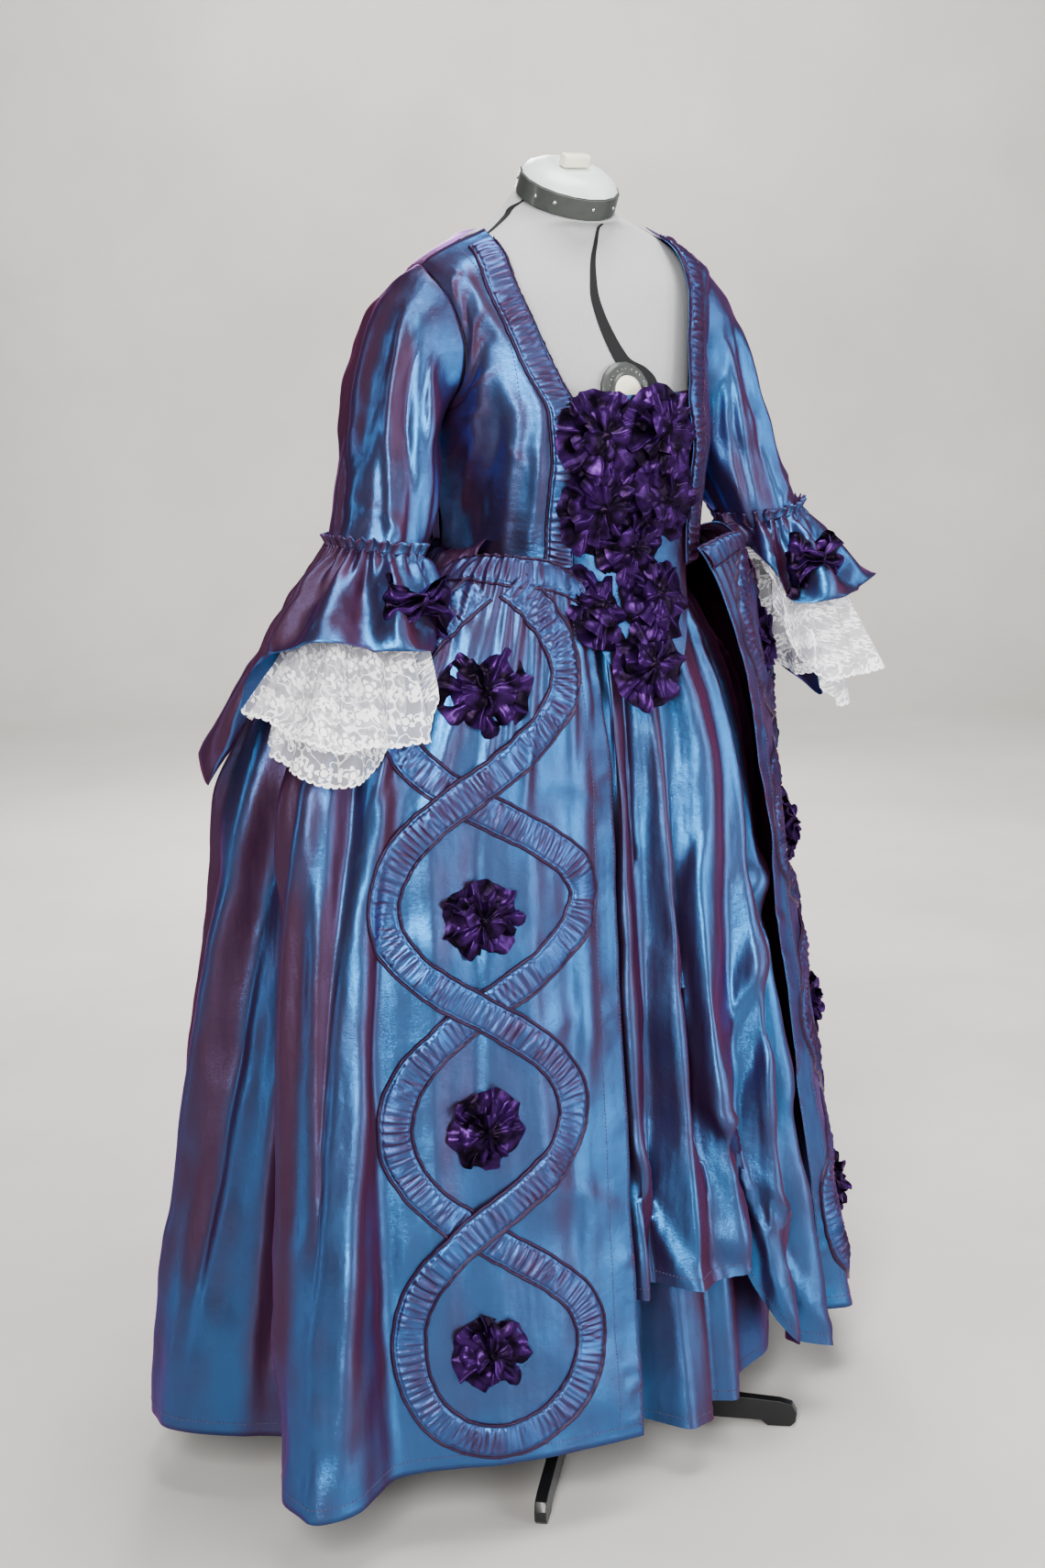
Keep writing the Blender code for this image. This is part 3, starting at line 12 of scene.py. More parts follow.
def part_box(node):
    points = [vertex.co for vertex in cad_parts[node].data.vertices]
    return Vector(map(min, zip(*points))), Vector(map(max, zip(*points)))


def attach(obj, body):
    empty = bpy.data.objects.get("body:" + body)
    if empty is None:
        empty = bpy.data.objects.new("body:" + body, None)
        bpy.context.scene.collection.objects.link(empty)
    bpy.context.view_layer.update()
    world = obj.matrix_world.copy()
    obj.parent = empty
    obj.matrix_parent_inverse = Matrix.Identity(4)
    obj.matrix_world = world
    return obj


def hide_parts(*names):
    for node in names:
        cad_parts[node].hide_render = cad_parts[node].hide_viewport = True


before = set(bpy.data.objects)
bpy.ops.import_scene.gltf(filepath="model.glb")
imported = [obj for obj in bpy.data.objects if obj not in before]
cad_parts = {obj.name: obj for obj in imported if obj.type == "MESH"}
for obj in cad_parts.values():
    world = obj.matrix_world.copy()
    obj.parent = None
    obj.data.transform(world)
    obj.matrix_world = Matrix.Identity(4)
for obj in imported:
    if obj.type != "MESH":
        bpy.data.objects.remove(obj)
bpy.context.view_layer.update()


# ---------------------------------------------------------------- studio
# A pale floor that turns up into a wall. A broad soft light from the left, and weaker ones from the
# right, above and behind. The camera looks down a little, from the wearer's right.
CAMERA_PLACE = (-1.6487, -2.2682, 1.4)
CAMERA_TURN = (77.698, 0.938, -36.379)      # degrees
CAMERA_LENS = 53.92                         # mm on a 36 mm high frame
FLOOR_HALF = 7.0
WALL_AWAY = 4.6
WALL_TURN = 1.2                             # radius where the floor turns up
WALL_TOP = 6.5
WALL_SPIN = -36                             # degrees; square to the camera
FLOOR_SINK = 0.0005                         # the floor is just under the feet
BEND_STEPS = 12
ROOM_COLOUR = (0.80, 0.82, 0.86, 1)
ROOM_STRENGTH = 0.08
LIGHTS = (
    # place, target, width, height, power, colour
    ((-2.9, -3.0, 2.5), (-0.1, 0.0, 0.75), 1.1, 2.3, 205, (1.0, 0.985, 0.965)),
    ((1.0, -4.1, 1.15), (0.0, 0.0, 0.7), 2.0, 2.1, 95, (0.98, 0.98, 1.0)),
    ((2.8, -2.2, 2.0), (0.1, 0.0, 0.7), 0.6, 2.0, 40, (0.95, 0.97, 1.0)),
    ((0.2, -0.4, 3.6), (0.0, 0.0, 0.8), 1.8, 1.4, 85, (1.0, 1.0, 1.0)),
    ((-3.2, 1.6, 1.7), (0.0, 0.2, 0.7), 0.5, 2.2, 22, (0.97, 0.98, 1.0)),
    ((1.6, 2.8, 2.2), (0.0, 0.2, 0.8), 0.8, 2.0, 55, (1.0, 0.98, 0.96)),
    ((1.6, 2.2, 3.6), (3.3, 4.6, 1.0), 2.4, 1.2, 150, (1.0, 0.99, 0.97)),
)


def maths(operation, turned=False):
    """A method of Wire that adds one Math node; turned puts the other value first."""

    def method(self, other=0):
        tree = self.socket.id_data
        node = tree.nodes.new("ShaderNodeMath")
        node.operation = operation
        for place, value in zip(node.inputs, (other, self) if turned else (self, other)):
            if isinstance(value, Wire):
                tree.links.new(value.socket, place)
            else:
                place.default_value = value
        return Wire(node.outputs[0])

    return method


class Wire:
    """A value in a material: sums and products of wires and numbers add their Math nodes."""

    def __init__(self, socket):
        self.socket = socket

    __add__, __radd__ = maths("ADD"), maths("ADD", True)
    __sub__, __rsub__ = maths("SUBTRACT"), maths("SUBTRACT", True)
    __mul__, __rmul__ = maths("MULTIPLY"), maths("MULTIPLY", True)
    __truediv__, __pow__ = maths("DIVIDE"), maths("POWER")
    least, most, above = maths("MINIMUM"), maths("MAXIMUM"), maths("GREATER_THAN")
    sine, cosine, size = maths("SINE"), maths("COSINE"), maths("ABSOLUTE")
    angle, modulo = maths("ARCTAN2"), maths("FLOORED_MODULO")


class Finish:
    """A material with one Principled shader, and the nodes that feed it."""

    def __init__(self, name, colour, roughness, **constants):
        self.made = bpy.data.materials.new(name)
        self.made.use_nodes = True
        self.made.diffuse_color = (*colour, 1)
        self.tree = self.made.node_tree
        self.shader = self.tree.nodes["Principled BSDF"]
        self.feed("Base Color", colour)
        self.feed("Roughness", roughness)
        for socket, value in constants.items():
            self.feed(socket.replace("_", " ").title().replace("Ior", "IOR"), value)

    def fill(self, socket, value):
        """A wire into a socket, or a value on it."""
        if isinstance(value, Wire):
            self.tree.links.new(value.socket, socket)
        elif isinstance(value, tuple) and socket.type == "RGBA" and len(value) == 3:
            socket.default_value = (*value, 1)
        else:
            socket.default_value = value

    def feed(self, name, value):
        """One of the shader's own inputs."""
        self.fill(self.shader.inputs[name], value)

    def node(self, kind, settings, values, output=0):
        """Any node: its type, its settings, then the values or wires of its inputs."""
        made = self.tree.nodes.new("ShaderNode" + kind)
        for name, value in settings.items():
            setattr(made, name, value)
        for name, value in values.items():
            self.fill(made.inputs[name], value)
        return Wire(made.outputs[output])

    def blend(self, share, first, second):
        """Two colours mixed by a share."""
        return self.node("Mix", {"data_type": "RGBA"}, {0: share, 6: first, 7: second}, 2)

    def place(self):
        """The object coordinates."""
        return self.node("TexCoord", {}, {}, "Object")

    def stretched(self, place, size):
        """A place made larger by a size for each axis."""
        return self.node("Mapping", {}, {"Vector": place, "Scale": size})

    def cloud(self, place, scale, detail=2.0, rough=0.5):
        """Soft noise over a place, about a half on average."""
        values = {"Vector": place, "Scale": scale, "Detail": detail, "Roughness": rough}
        return self.node("TexNoise", {}, values, "Fac")

    def relief(self, height, distance, strength):
        """A bump from a height wire; distance is the real height in metres."""
        values = {"Height": height, "Distance": distance, "Strength": strength}
        normal = self.node("Bump", {}, values, "Normal")
        self.feed("Normal", normal)
        return normal

    def mixed_with(self, share, **inputs):
        """A second shader mixed over the first one by a share."""
        values = {name.replace("_", " "): value for name, value in inputs.items()}
        second = self.node("BsdfPrincipled", {}, values)
        both = self.node("MixShader", {}, {0: share, 1: Wire(self.shader.outputs[0]), 2: second})
        self.fill(self.tree.nodes["Material Output"].inputs["Surface"], both)


def shape_of(name, points, faces, *finishes):
    """A smooth mesh of points and faces in its finishes, put in the scene."""
    mesh = bpy.data.meshes.new(name)
    mesh.from_pydata(points, [], faces)
    for finish in finishes:
        mesh.materials.append(finish.made)
    mesh.shade_smooth()
    made = bpy.data.objects.new(name, mesh)
    bpy.context.scene.collection.objects.link(made)
    return made


floor_paint = Finish("floor_paper", (0.60, 0.585, 0.56), 0.9, specular_ior_level=0.1)
patch = floor_paint.cloud(floor_paint.place(), 1.3, 5.0, 0.6)
floor_paint.feed("Base Color", floor_paint.blend(patch, (0.50, 0.485, 0.46), (0.70, 0.685, 0.655)))

profile = [(-FLOOR_HALF, 0.0), (WALL_AWAY, 0.0)]
for step in range(1, BEND_STEPS + 1):
    turn = math.radians(90 * step / BEND_STEPS)
    profile.append((WALL_AWAY + WALL_TURN * math.sin(turn), WALL_TURN * (1 - math.cos(turn))))
profile.append((WALL_AWAY + WALL_TURN, WALL_TOP))
corners = [(end * FLOOR_HALF, depth, height - FLOOR_SINK) for depth, height in profile for end in (-1, 1)]
faces = [(2 * k, 2 * k + 1, 2 * k + 3, 2 * k + 2) for k in range(len(profile) - 1)]
studio_floor = shape_of("studio_floor", corners, faces, floor_paint)
studio_floor.data.transform(Matrix.Rotation(math.radians(WALL_SPIN), 4, "Z"))

for number, (place, target, width, height, power, colour) in enumerate(LIGHTS):
    lamp = bpy.data.lights.new(f"softbox_{number}", "AREA")
    lamp.shape = "RECTANGLE"
    lamp.size = width
    lamp.size_y = height
    lamp.energy = power
    lamp.color = colour
    box = bpy.data.objects.new(f"softbox_{number}", lamp)
    box.location = place
    box.rotation_euler = (Vector(target) - Vector(place)).to_track_quat("-Z", "Y").to_euler()
    bpy.context.scene.collection.objects.link(box)

room = bpy.data.worlds.new("studio_room")
room.use_nodes = True
room_light = room.node_tree.nodes["Background"].inputs
room_light["Color"].default_value = ROOM_COLOUR
room_light["Strength"].default_value = ROOM_STRENGTH
bpy.context.scene.world = room

lens = bpy.data.cameras.new("camera")
lens.lens = CAMERA_LENS
lens.sensor_width = 36
lens.sensor_fit = "AUTO"
lens.clip_start = 0.05
camera = bpy.data.objects.new("camera", lens)
camera.location = CAMERA_PLACE
camera.rotation_euler = Euler([math.radians(angle) for angle in CAMERA_TURN])
bpy.context.scene.collection.objects.link(camera)
bpy.context.scene.camera = camera
bpy.context.scene.view_settings.look = "AgX - Medium High Contrast"


# ---------------------------------------------------------------- cloth and how it is cut from the frame
# Every cloth piece is a thin shell through the points of its wall in the frame, made smooth, with its listed
# creases laid on. Shot taffeta: a blue weft over a plum warp, crisp and glossy.
# The plum shows partly as the warp's own colour and partly as painted shade on fold flanks and in valleys.
FORM_AXIS = np.array((-0.0065, -0.0625))
TAFFETA_BLUE = (0.034, 0.200, 0.46)
TAFFETA_PLUM = (0.068, 0.014, 0.045)
CLOTH_WALL = 0.0009
WALL_LIMIT = 0.004                          # two points of a wall nearer than this lie through it


def taffeta(name, blue, plum, plum_share, slub=1.0, fall=(1.0, 1.0, 0.16)):
    """Shot taffeta: the blue weft gives the gloss, the plum warp the matt colour under it.

    The attribute painted_shade is painted shade: it says how far the cloth turns out of its panel, and makes
    the cloth plum and more matt on fold flanks and in valleys.
    """
    made = Finish(name, blue, 0.30, metallic=1.0, specular_tint=(0.70, 0.32, 0.60))
    place = made.place()
    painted_shade = made.node("Attribute", {"attribute_name": "painted_shade"}, {}, "Fac")
    patches = made.cloud(place, 7.0, 3.0)
    thread = made.cloud(made.stretched(place, (1.0, 1.0, 14.0)), 190.0, 2.0)
    # Painted shade from the attribute, plus random patches of tone, turns the colour from blue to plum.
    turned = (painted_shade * 1.25 + (patches - 0.5) * 1.1 + plum_share - 0.10).least(1.0).most(0.0)
    made.feed("Base Color", made.blend(turned, blue, tuple(0.22 * b + 0.78 * p for b, p in zip(blue, plum))))
    made.feed("Roughness", 0.24 + 0.12 * patches + 0.05 * thread)
    uneven = made.cloud(place, 48.0, 3.0)
    drape = made.cloud(made.stretched(place, fall), 34.0, 2.0)
    normal = made.relief(thread * 0.10 + uneven * 0.42 * slub + drape * slub, 0.0042, 0.5)
    matt = made.blend(thread, plum, tuple(0.6 * p for p in plum))
    # The matt plum shader is mixed in more where the painted shade lies.
    made.mixed_with((turned * 0.36 + 0.34).least(0.85), Base_Color=matt, Roughness=0.6, Normal=normal,
                    Sheen_Weight=0.35, Sheen_Roughness=0.4, Sheen_Tint=(0.40, 0.06, 0.22, 1))
    return made


shot_taffeta = taffeta("shot_taffeta", TAFFETA_BLUE, TAFFETA_PLUM, 0.12)
fitted_taffeta = taffeta("fitted_taffeta", TAFFETA_BLUE, TAFFETA_PLUM, 0.16, 0.8, (0.45, 0.45, 1.5))


def woven(name):
    """Points of a wall in the frame and, for each point, which neighbour follows which around it."""
    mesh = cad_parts[name].data
    loose = np.array([corner.co for corner in mesh.vertices])
    _, first, index = np.unique(np.round(loose * 1e5), axis=0, return_index=True, return_inverse=True)
    index = index.reshape(-1)
    around = [{} for _ in first]
    for face in mesh.polygons:
        a, b, c = (int(index[k]) for k in face.vertices)
        around[a][b], around[b][c], around[c][a] = c, a, b
    return loose[first], around


def beyond(around, pairs, side):
    """The points past pairs of neighbours, on one side of them or the other."""
    return [around[a][b] if side else around[b][a] for a, b in pairs]


def straight_on(around, a, b, count):
    """Points passed when walking from a over b and straight on."""
    line = [a, b]
    while len(line) < count and len(around[line[-1]]) == 6:
        here = around[line[-1]]
        line.append(here[here[here[line[-2]]]])
    return line


def nearer(points, k, a, b):
    """How far a point is from the nearer of two others."""
    return min(np.linalg.norm(points[k] - points[a]), np.linalg.norm(points[k] - points[b]))


def steps_past(points, around, pairs, side):
    """How far the points past pairs of neighbours are from them."""
    return [nearer(points, k, a, b) for k, (a, b) in zip(beyond(around, pairs, side), pairs)]


def next_row(points, around, row, side, closed):
    """The row of a wall that follows a row, or nothing where the wall's edge is reached."""
    pairs = list(zip(row, row[1:] + row[:1] if closed else row[1:]))
    if np.mean(steps_past(points, around, pairs, side)) < WALL_LIMIT:
        return None
    after = beyond(around, pairs, side)
    if closed:
        turned = after[-1:] + after[:-1]
        runs = [sum(np.linalg.norm(points[a] - points[b]) for a, b in zip(line, row))
                for line in (after, turned)]
        return after if runs[0] < runs[1] else turned
    ends = []
    for end, beside in ((0, 1), (-1, -2)):
        a, b = row[end], after[end]
        k = ({around[a].get(b), around[b].get(a)} - {row[beside]}).pop()
        ends.append((k, nearer(points, k, a, b)))
    (before, first), (behind, last) = ends
    return [before] + after if first > last else after + [behind]


def wall_rows(name, start, wide, closed=False, end=None):
    """Rows of points on the outer face of a wall, the first one from the point nearest to start."""
    points, around = woven(name)
    ends = [k for k in range(len(points)) if closed or len(around[k]) != 6]
    nearest = sorted(ends, key=lambda k: np.linalg.norm(points[k] - start))[:2]
    corner = max(nearest, key=lambda k: np.linalg.norm(points[k, :2] - FORM_AXIS))
    lines = []
    for beside in around[corner]:
        line = straight_on(around, corner, beside, wide + closed)
        whole = line[-1] == corner if closed else len(line) == wide and len(around[line[-1]]) != 6
        if len(line) == wide + closed and whole:
            lines.append(line[:wide])
    if end is not None:
        lines.sort(key=lambda line: np.linalg.norm(points[line[-1]] - end))
    rows = [lines[0]]
    pairs = list(zip(rows[0], rows[0][1:]))
    reach = [sum(steps_past(points, around, pairs, side)) for side in (0, 1)]
    side = int(reach[1] > reach[0])
    while (row := next_row(points, around, rows[-1], side, closed)) is not None:
        rows.append(row)
    return points[np.array(rows)]


def run_along(points):
    """Metres along a line of points, or the mean of them where the points are rows."""
    runs = np.linalg.norm(np.diff(points, axis=0), axis=-1).reshape(len(points) - 1, -1).mean(axis=1)
    return np.concatenate(([0.0], np.cumsum(runs)))


def through(points, places):
    """Points of the smooth line through rows of points; places run from 0 to 1 along it."""
    keys = run_along(points)
    return at_keys(points, keys, np.asarray(places) * keys[-1])


def at_keys(points, keys, places):
    """Cubic line through rows of points that stand at the keys, read at the places."""
    shape = (-1,) + (1,) * (points.ndim - 1)
    steps = np.diff(keys).reshape(shape)
    slopes = np.diff(points, axis=0) / steps
    tangents = np.empty_like(points)
    tangents[1:-1] = (slopes[:-1] * steps[1:] + slopes[1:] * steps[:-1]) / (steps[1:] + steps[:-1])
    tangents[0], tangents[-1] = slopes[0], slopes[-1]
    k = np.clip(np.searchsorted(keys, places, side="right") - 1, 0, len(keys) - 2)
    step = steps[k]
    f = ((places - keys[k]) / np.diff(keys)[k]).reshape(shape)
    g = 1 - f
    return (points[k] * (1 + 2 * f) * g * g + tangents[k] * step * f * g * g
            + points[k + 1] * (1 + 2 * g) * f * f - tangents[k + 1] * step * g * f * f)


def set_shares(mesh, name, values):
    """An attribute of the mesh's points, one value for each."""
    layer = mesh.attributes.new(name, "FLOAT", "POINT")
    layer.data.foreach_set("value", np.asarray(values, np.float32).reshape(-1))


def put_on(made, node=None):
    """The piece rides on the one body, in place of a node where it has one."""
    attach(made, "root")
    if node:
        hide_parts(node)


class Cloth:
    """A fine grid of points on a cloth's outer face: rows run down it, columns across it."""

    def __init__(self, rows, down, across, closed=False, centre=None):
        columns = np.swapaxes(rows, 0, 1)
        if closed:
            ring = np.concatenate((columns[-3:], columns, columns[:4]))
            keys = run_along(ring)
            start, end = keys[3], keys[3 + len(columns)]
            wider = at_keys(ring, keys, start + np.arange(across) / across * (end - start))
        else:
            wider = through(columns, np.linspace(0, 1, across))
        self.points = through(np.swapaxes(wider, 0, 1), np.linspace(0, 1, down))
        self.closed = closed
        self.down, self.across = down, across
        self.spans = across if closed else across - 1
        share = np.arange(across) / across if closed else np.linspace(0, 1, across)
        self.s, self.t = np.meshgrid(share, np.linspace(0, 1, down))
        # Painted shade, laid on by the creases and gathers and finished in piece.
        self.painted_shade = np.zeros((down, across))
        self.sign = 1.0
        self.measure()
        middle = np.array((*FORM_AXIS, 0.0)) if centre is None else np.asarray(centre)
        outward = self.points - middle
        if centre is None:
            outward[..., 2] = 0
        self.sign = 1.0 if (outward * self.normals).sum() > 0 else -1.0
        self.normals = self.normals * self.sign

    def measure(self):
        """Outward normals, and the metres across and down at each point."""
        grid = self.points
        if self.closed:
            grid = np.concatenate((grid[:, -1:], grid, grid[:, :1]), axis=1)
        over = np.gradient(grid, axis=1)
        along = np.gradient(grid, axis=0)
        if self.closed:
            over, along = over[:, 1:-1], along[:, 1:-1]
        normals = np.cross(over, along)
        length = np.maximum(np.linalg.norm(normals, axis=-1, keepdims=True), 1e-12)
        self.normals = normals / length * self.sign
        wide = np.linalg.norm(np.diff(self.points, axis=1), axis=-1)
        tall = np.linalg.norm(np.diff(self.points, axis=0), axis=-1)
        self.u = np.concatenate((np.zeros((self.down, 1)), np.cumsum(wide, axis=1)), axis=1)
        self.v = np.concatenate((np.zeros((1, self.across)), np.cumsum(tall, axis=0)), axis=0)

    def spot(self, s, t):
        """Row and column of a place given by its shares across and down."""
        column = int(round((s % 1 if self.closed else s) * self.spans)) % self.across
        return min(int(round(t * (self.down - 1))), self.down - 1), column

    def crease(self, folds):
        """Lay listed creases on: from (s, t) to (s, t), half width and height in metres."""
        height = np.zeros((self.down, self.across))
        around = self.u[:, -1:] if self.closed else None
        for s0, t0, s1, t1, wide, tall in folds:
            a, b = self.spot(s0, t0), self.spot(s1, t1)
            x0, y0, x1, y1 = self.u[a], self.v[a], self.u[b], self.v[b]
            if self.closed and s1 > 1:
                x1 += self.u[b[0], -1]
            length = max(math.hypot(x1 - x0, y1 - y0), 1e-6)
            for shift in ((-1, 0, 1) if self.closed else (0,)):
                x = self.u + shift * around if shift else self.u
                q = ((x - x0) * (x1 - x0) + (self.v - y0) * (y1 - y0)) / length ** 2
                off = ((x - x0) * (y1 - y0) - (self.v - y0) * (x1 - x0)) / length
                ends = np.clip(1 - np.maximum(np.abs(q - 0.5) * 2 - 0.55, 0) / 0.62, 0, 1)
                ends = ends * ends * (3 - 2 * ends)
                bow = off + 0.16 * wide * np.sin(q * 9 + s0 * 40)
                height += tall * ends * np.exp(-(bow / (wide * np.where(bow > 0, 1.25, 0.8))) ** 2)
                steep = min(abs(tall) / wide * 2.2, 0.8)
                # Painted shade on the flanks of each crease.
                self.painted_shade += np.abs(bow) / wide * ends * np.exp(-(bow / wide) ** 2) * steep
        self.points = self.points + self.normals * height[..., None]
        return self

    def gather(self, count, tall, start, end, seed):
        """Uneven gathers that run down the cloth from one share to another and die away at both ends."""
        dice = random.Random(seed)
        drift = sum(dice.uniform(0.5, 1.0) / k * np.sin(2 * math.pi * k * self.s + dice.uniform(0, 6.3))
                    for k in (2, 3, 5, 8))
        wave = np.sin(2 * math.pi * count * self.s + 1.3 * drift * (1 + 0.5 * self.t))
        reach = np.clip((self.t - start) / max(end - start, 1e-6), 0, 1)
        swell = np.clip(1.15 * np.sin(math.pi * reach) ** 0.6, 0, 1) if start > 0 else (1 - reach) ** 0.8
        height = tall * wave * swell * (1 + 0.35 * np.sin(3.1 * drift + 5 * self.s))
        self.points = self.points + self.normals * height[..., None]
        # Painted shade in the troughs of the gathers.
        self.painted_shade += np.clip(0.5 - 0.5 * wave, 0, 1) * swell * 0.7
        return self

    def read(self, rows, columns):
        """Points and outward ways at rows and columns that needn't be whole."""
        rows = np.clip(rows, 0, self.down - 1.001)
        columns = np.mod(columns, self.across) if self.closed else np.clip(columns, 0, self.across - 1.001)
        r, c = rows.astype(int), columns.astype(int)
        f, g = (rows - r)[:, None], (columns - c)[:, None]
        d = (c + 1) % self.across
        return [(a[r, c] * (1 - g) + a[r, d] * g) * (1 - f) + (a[r + 1, c] * (1 - g) + a[r + 1, d] * g) * f
                for a in (self.points, self.normals)]

    def beside_edge(self, reach, start=0.0, end=1.0):
        """A line down the cloth, a distance from its first column."""
        rows = np.linspace(start, end, 200) * (self.down - 1)
        columns = [np.interp(reach, self.u[int(row)], np.arange(self.across)) for row in rows]
        return self.read(rows, np.array(columns))

    def above_hem(self, reach):
        """A line across the cloth, a distance above its last row."""
        columns = np.linspace(0, self.spans, 500)
        length = self.v[:, columns.astype(int) % self.across]
        rows = [np.interp(line[-1] - reach, line, np.arange(self.down)) for line in length.T]
        return self.read(np.array(rows), columns)

    def across_at(self, s0, t0, s1, t1):
        """A line straight from one place to another, given by their shares."""
        steps = np.linspace(0, 1, 120)
        return self.read((t0 + (t1 - t0) * steps) * (self.down - 1), (s0 + (s1 - s0) * steps) * self.spans)

    def crumple(self, size, tall, seed):
        """Low uneven dents, as taffeta keeps them."""
        flat = self.points.reshape(-1, 3)
        shift = Vector((seed * 3.1, seed * 1.7, seed * 0.9))
        dents = [noise.turbulence(Vector(point) / size + shift, 2, False) for point in flat]
        dents = np.array(dents).reshape(self.down, self.across)
        self.points = self.points + self.normals * (dents - dents.mean())[..., None] * tall
        return self

    def tree(self):
        """A search tree of the cloth's outer face."""
        return BVHTree.FromPolygons([Vector(point) for point in self.points.reshape(-1, 3)], self.faces())

    def faces(self):
        """The grid's faces, turned to point outwards."""
        made = []
        wide = self.across
        for r in range(self.down - 1):
            for c in range(self.spans):
                a, b = r * wide + c, r * wide + (c + 1) % wide
                face = (a, b, b + wide, a + wide)
                made.append(face if self.sign > 0 else face[::-1])
        return made

    def turned_out(self):
        """How far each point turns to one side of the cloth around it, where piece paints plum shade."""
        self.measure()
        wide = self.normals.copy()
        for _ in range(60):
            ring = np.roll(wide, 1, axis=1) + np.roll(wide, -1, axis=1)
            if not self.closed:
                ring[:, 0], ring[:, -1] = 2 * wide[:, 1], 2 * wide[:, -2]
            tall = np.concatenate((wide[:1], wide, wide[-1:]))
            wide = (wide * 2 + ring + tall[:-2] + tall[2:]) / 6
        aside = np.stack((-wide[..., 1], wide[..., 0], np.zeros_like(wide[..., 0])), axis=-1)
        aside /= np.maximum(np.linalg.norm(aside, axis=-1, keepdims=True), 1e-6)
        return ((self.normals - wide) * aside).sum(axis=-1)

    def thread_places(self, mesh):
        """Metres across and down at each corner of the mesh, with no jump where a tube closes."""
        corner = np.empty(len(mesh.loops), dtype=np.int32)
        mesh.loops.foreach_get("vertex_index", corner)
        flat = np.stack((self.u.reshape(-1)[corner], self.v.reshape(-1)[corner]), axis=1)
        if self.closed:
            column = corner.reshape(-1, 4) % self.across
            seam = (column.max(axis=1) == self.across - 1) & (column.min(axis=1) == 0)
            late = np.repeat(seam, 4) & (corner % self.across == 0)
            step = np.linalg.norm(self.points[:, 0] - self.points[:, -1], axis=-1)
            flat[late, 0] = (self.u[:, -1] + step)[corner[late] // self.across]
        return flat.astype(np.float32).reshape(-1)

    def piece(self, name, node, finish, held, rests_on, wall=CLOTH_WALL, slot="shot_taffeta"):
        """The finished shell in place of a node; its UV map holds metres of thread."""
        # Painted shade: on the crease and gather flanks, and on the side each point turns to, smoothed.
        self.painted_shade = np.clip(self.painted_shade * 0.30 + 2.1 * self.turned_out(), 0, 1)
        for _ in range(3):
            self.painted_shade[:, 1:-1] = (self.painted_shade[:, 1:-1] * 2 + self.painted_shade[:, :-2] + self.painted_shade[:, 2:]) / 4
        made = shape_of(name, self.points.reshape(-1, 3).tolist(), self.faces(), finish)
        mesh = made.data
        mesh.uv_layers.new(name="thread").data.foreach_set("uv", self.thread_places(mesh))
        set_shares(mesh, "painted_shade", np.clip(self.painted_shade, 0, 1))
        set_shares(mesh, "rise", self.v[-1:] - self.v)
        if wall:
            shell = made.modifiers.new("wall", "SOLIDIFY")
            shell.thickness = wall
            shell.offset = -1
        put_on(made, node)


# ---------------------------------------------------------------- dress form: torso
# A limbless body of several panels under grey jersey. The panels slide apart for the size, so a gap runs down
# the middle of the chest, and a narrow one down each side of the neck. A near-black strip laid in each gap is
# painted shade for its depth.
JERSEY_GREY = (0.40, 0.40, 0.41)
IN_FRONT = -0.6                             # a place in front of the whole gown
CHEST_GAP = (
    # across, height, half width
    (0.0105, 1.4620, 0.0016), (0.0100, 1.4490, 0.0020), (0.0045, 1.4330, 0.0028), (-0.0075, 1.4130, 0.0036),
    (-0.0165, 1.3950, 0.0045), (-0.0225, 1.3740, 0.0058), (-0.0205, 1.3530, 0.0070),
    (-0.0150, 1.3330, 0.0085), (-0.0080, 1.3160, 0.0100), (-0.0010, 1.3040, 0.0120),
    (0.0120, 1.2940, 0.0200), (0.0180, 1.2820, 0.0270), (0.0200, 1.2640, 0.0290),
)
NECK_GAP = (
    (-0.0380, 1.4860, 0.0010), (-0.0650, 1.4740, 0.0011), (-0.0830, 1.4610, 0.0012),
    (-0.1030, 1.4500, 0.0012), (-0.1200, 1.4410, 0.0012),
)

jersey = Finish("form_jersey", JERSEY_GREY, 0.92, sheen_weight=0.25, sheen_roughness=0.5)
knit = jersey.cloud(jersey.stretched(jersey.place(), (1.0, 1.0, 0.5)), 900.0, 1.0)
jersey.feed("Base Color", jersey.blend(knit, (0.34, 0.34, 0.35), (0.47, 0.47, 0.47)))
jersey.relief(knit, 0.0003, 0.5)
# Near-black painted shade for the inside of the gaps.
painted_gap_shade = Finish("painted_gap_shade", (0.006, 0.006, 0.007), 0.7)


def copy_of(name, node, finish, join, *limits):
    """A copy of a node in a finish, its doubles merged and its flat triangles joined."""
    shell = bmesh.new()
    shell.from_mesh(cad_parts[node].data)
    bmesh.ops.remove_doubles(shell, verts=shell.verts, dist=0.00001)
    join(shell, *limits)
    made = shape_of(name, [], [], finish)
    shell.to_mesh(made.data)
    shell.free()
    made.data.shade_smooth()
    return made


def join_quads(shell, furthest):
    """Triangles become quads where they are flat within an angle in radians."""
    bmesh.ops.join_triangles(shell, faces=shell.faces, angle_face_threshold=furthest,
                             angle_shape_threshold=furthest)


form_torso = copy_of("form_torso", "form_body", jersey, join_quads, 0.8)
rounding = form_torso.modifiers.new("round", "SUBSURF")
rounding.levels = 2
rounding.render_levels = 2
put_on(form_torso, "form_body")


def baked(item):
    """The mesh of an object with its modifiers applied."""
    bpy.context.view_layer.update()
    seen = item.evaluated_get(bpy.context.evaluated_depsgraph_get())
    return bpy.data.meshes.new_from_object(seen)


def tree_of(item):
    """A search tree of an object's finished mesh."""
    mesh = baked(item)
    made = BVHTree.FromPolygons([corner.co.copy() for corner in mesh.vertices],
                                [tuple(face.vertices) for face in mesh.polygons])
    bpy.data.meshes.remove(mesh)
    return made


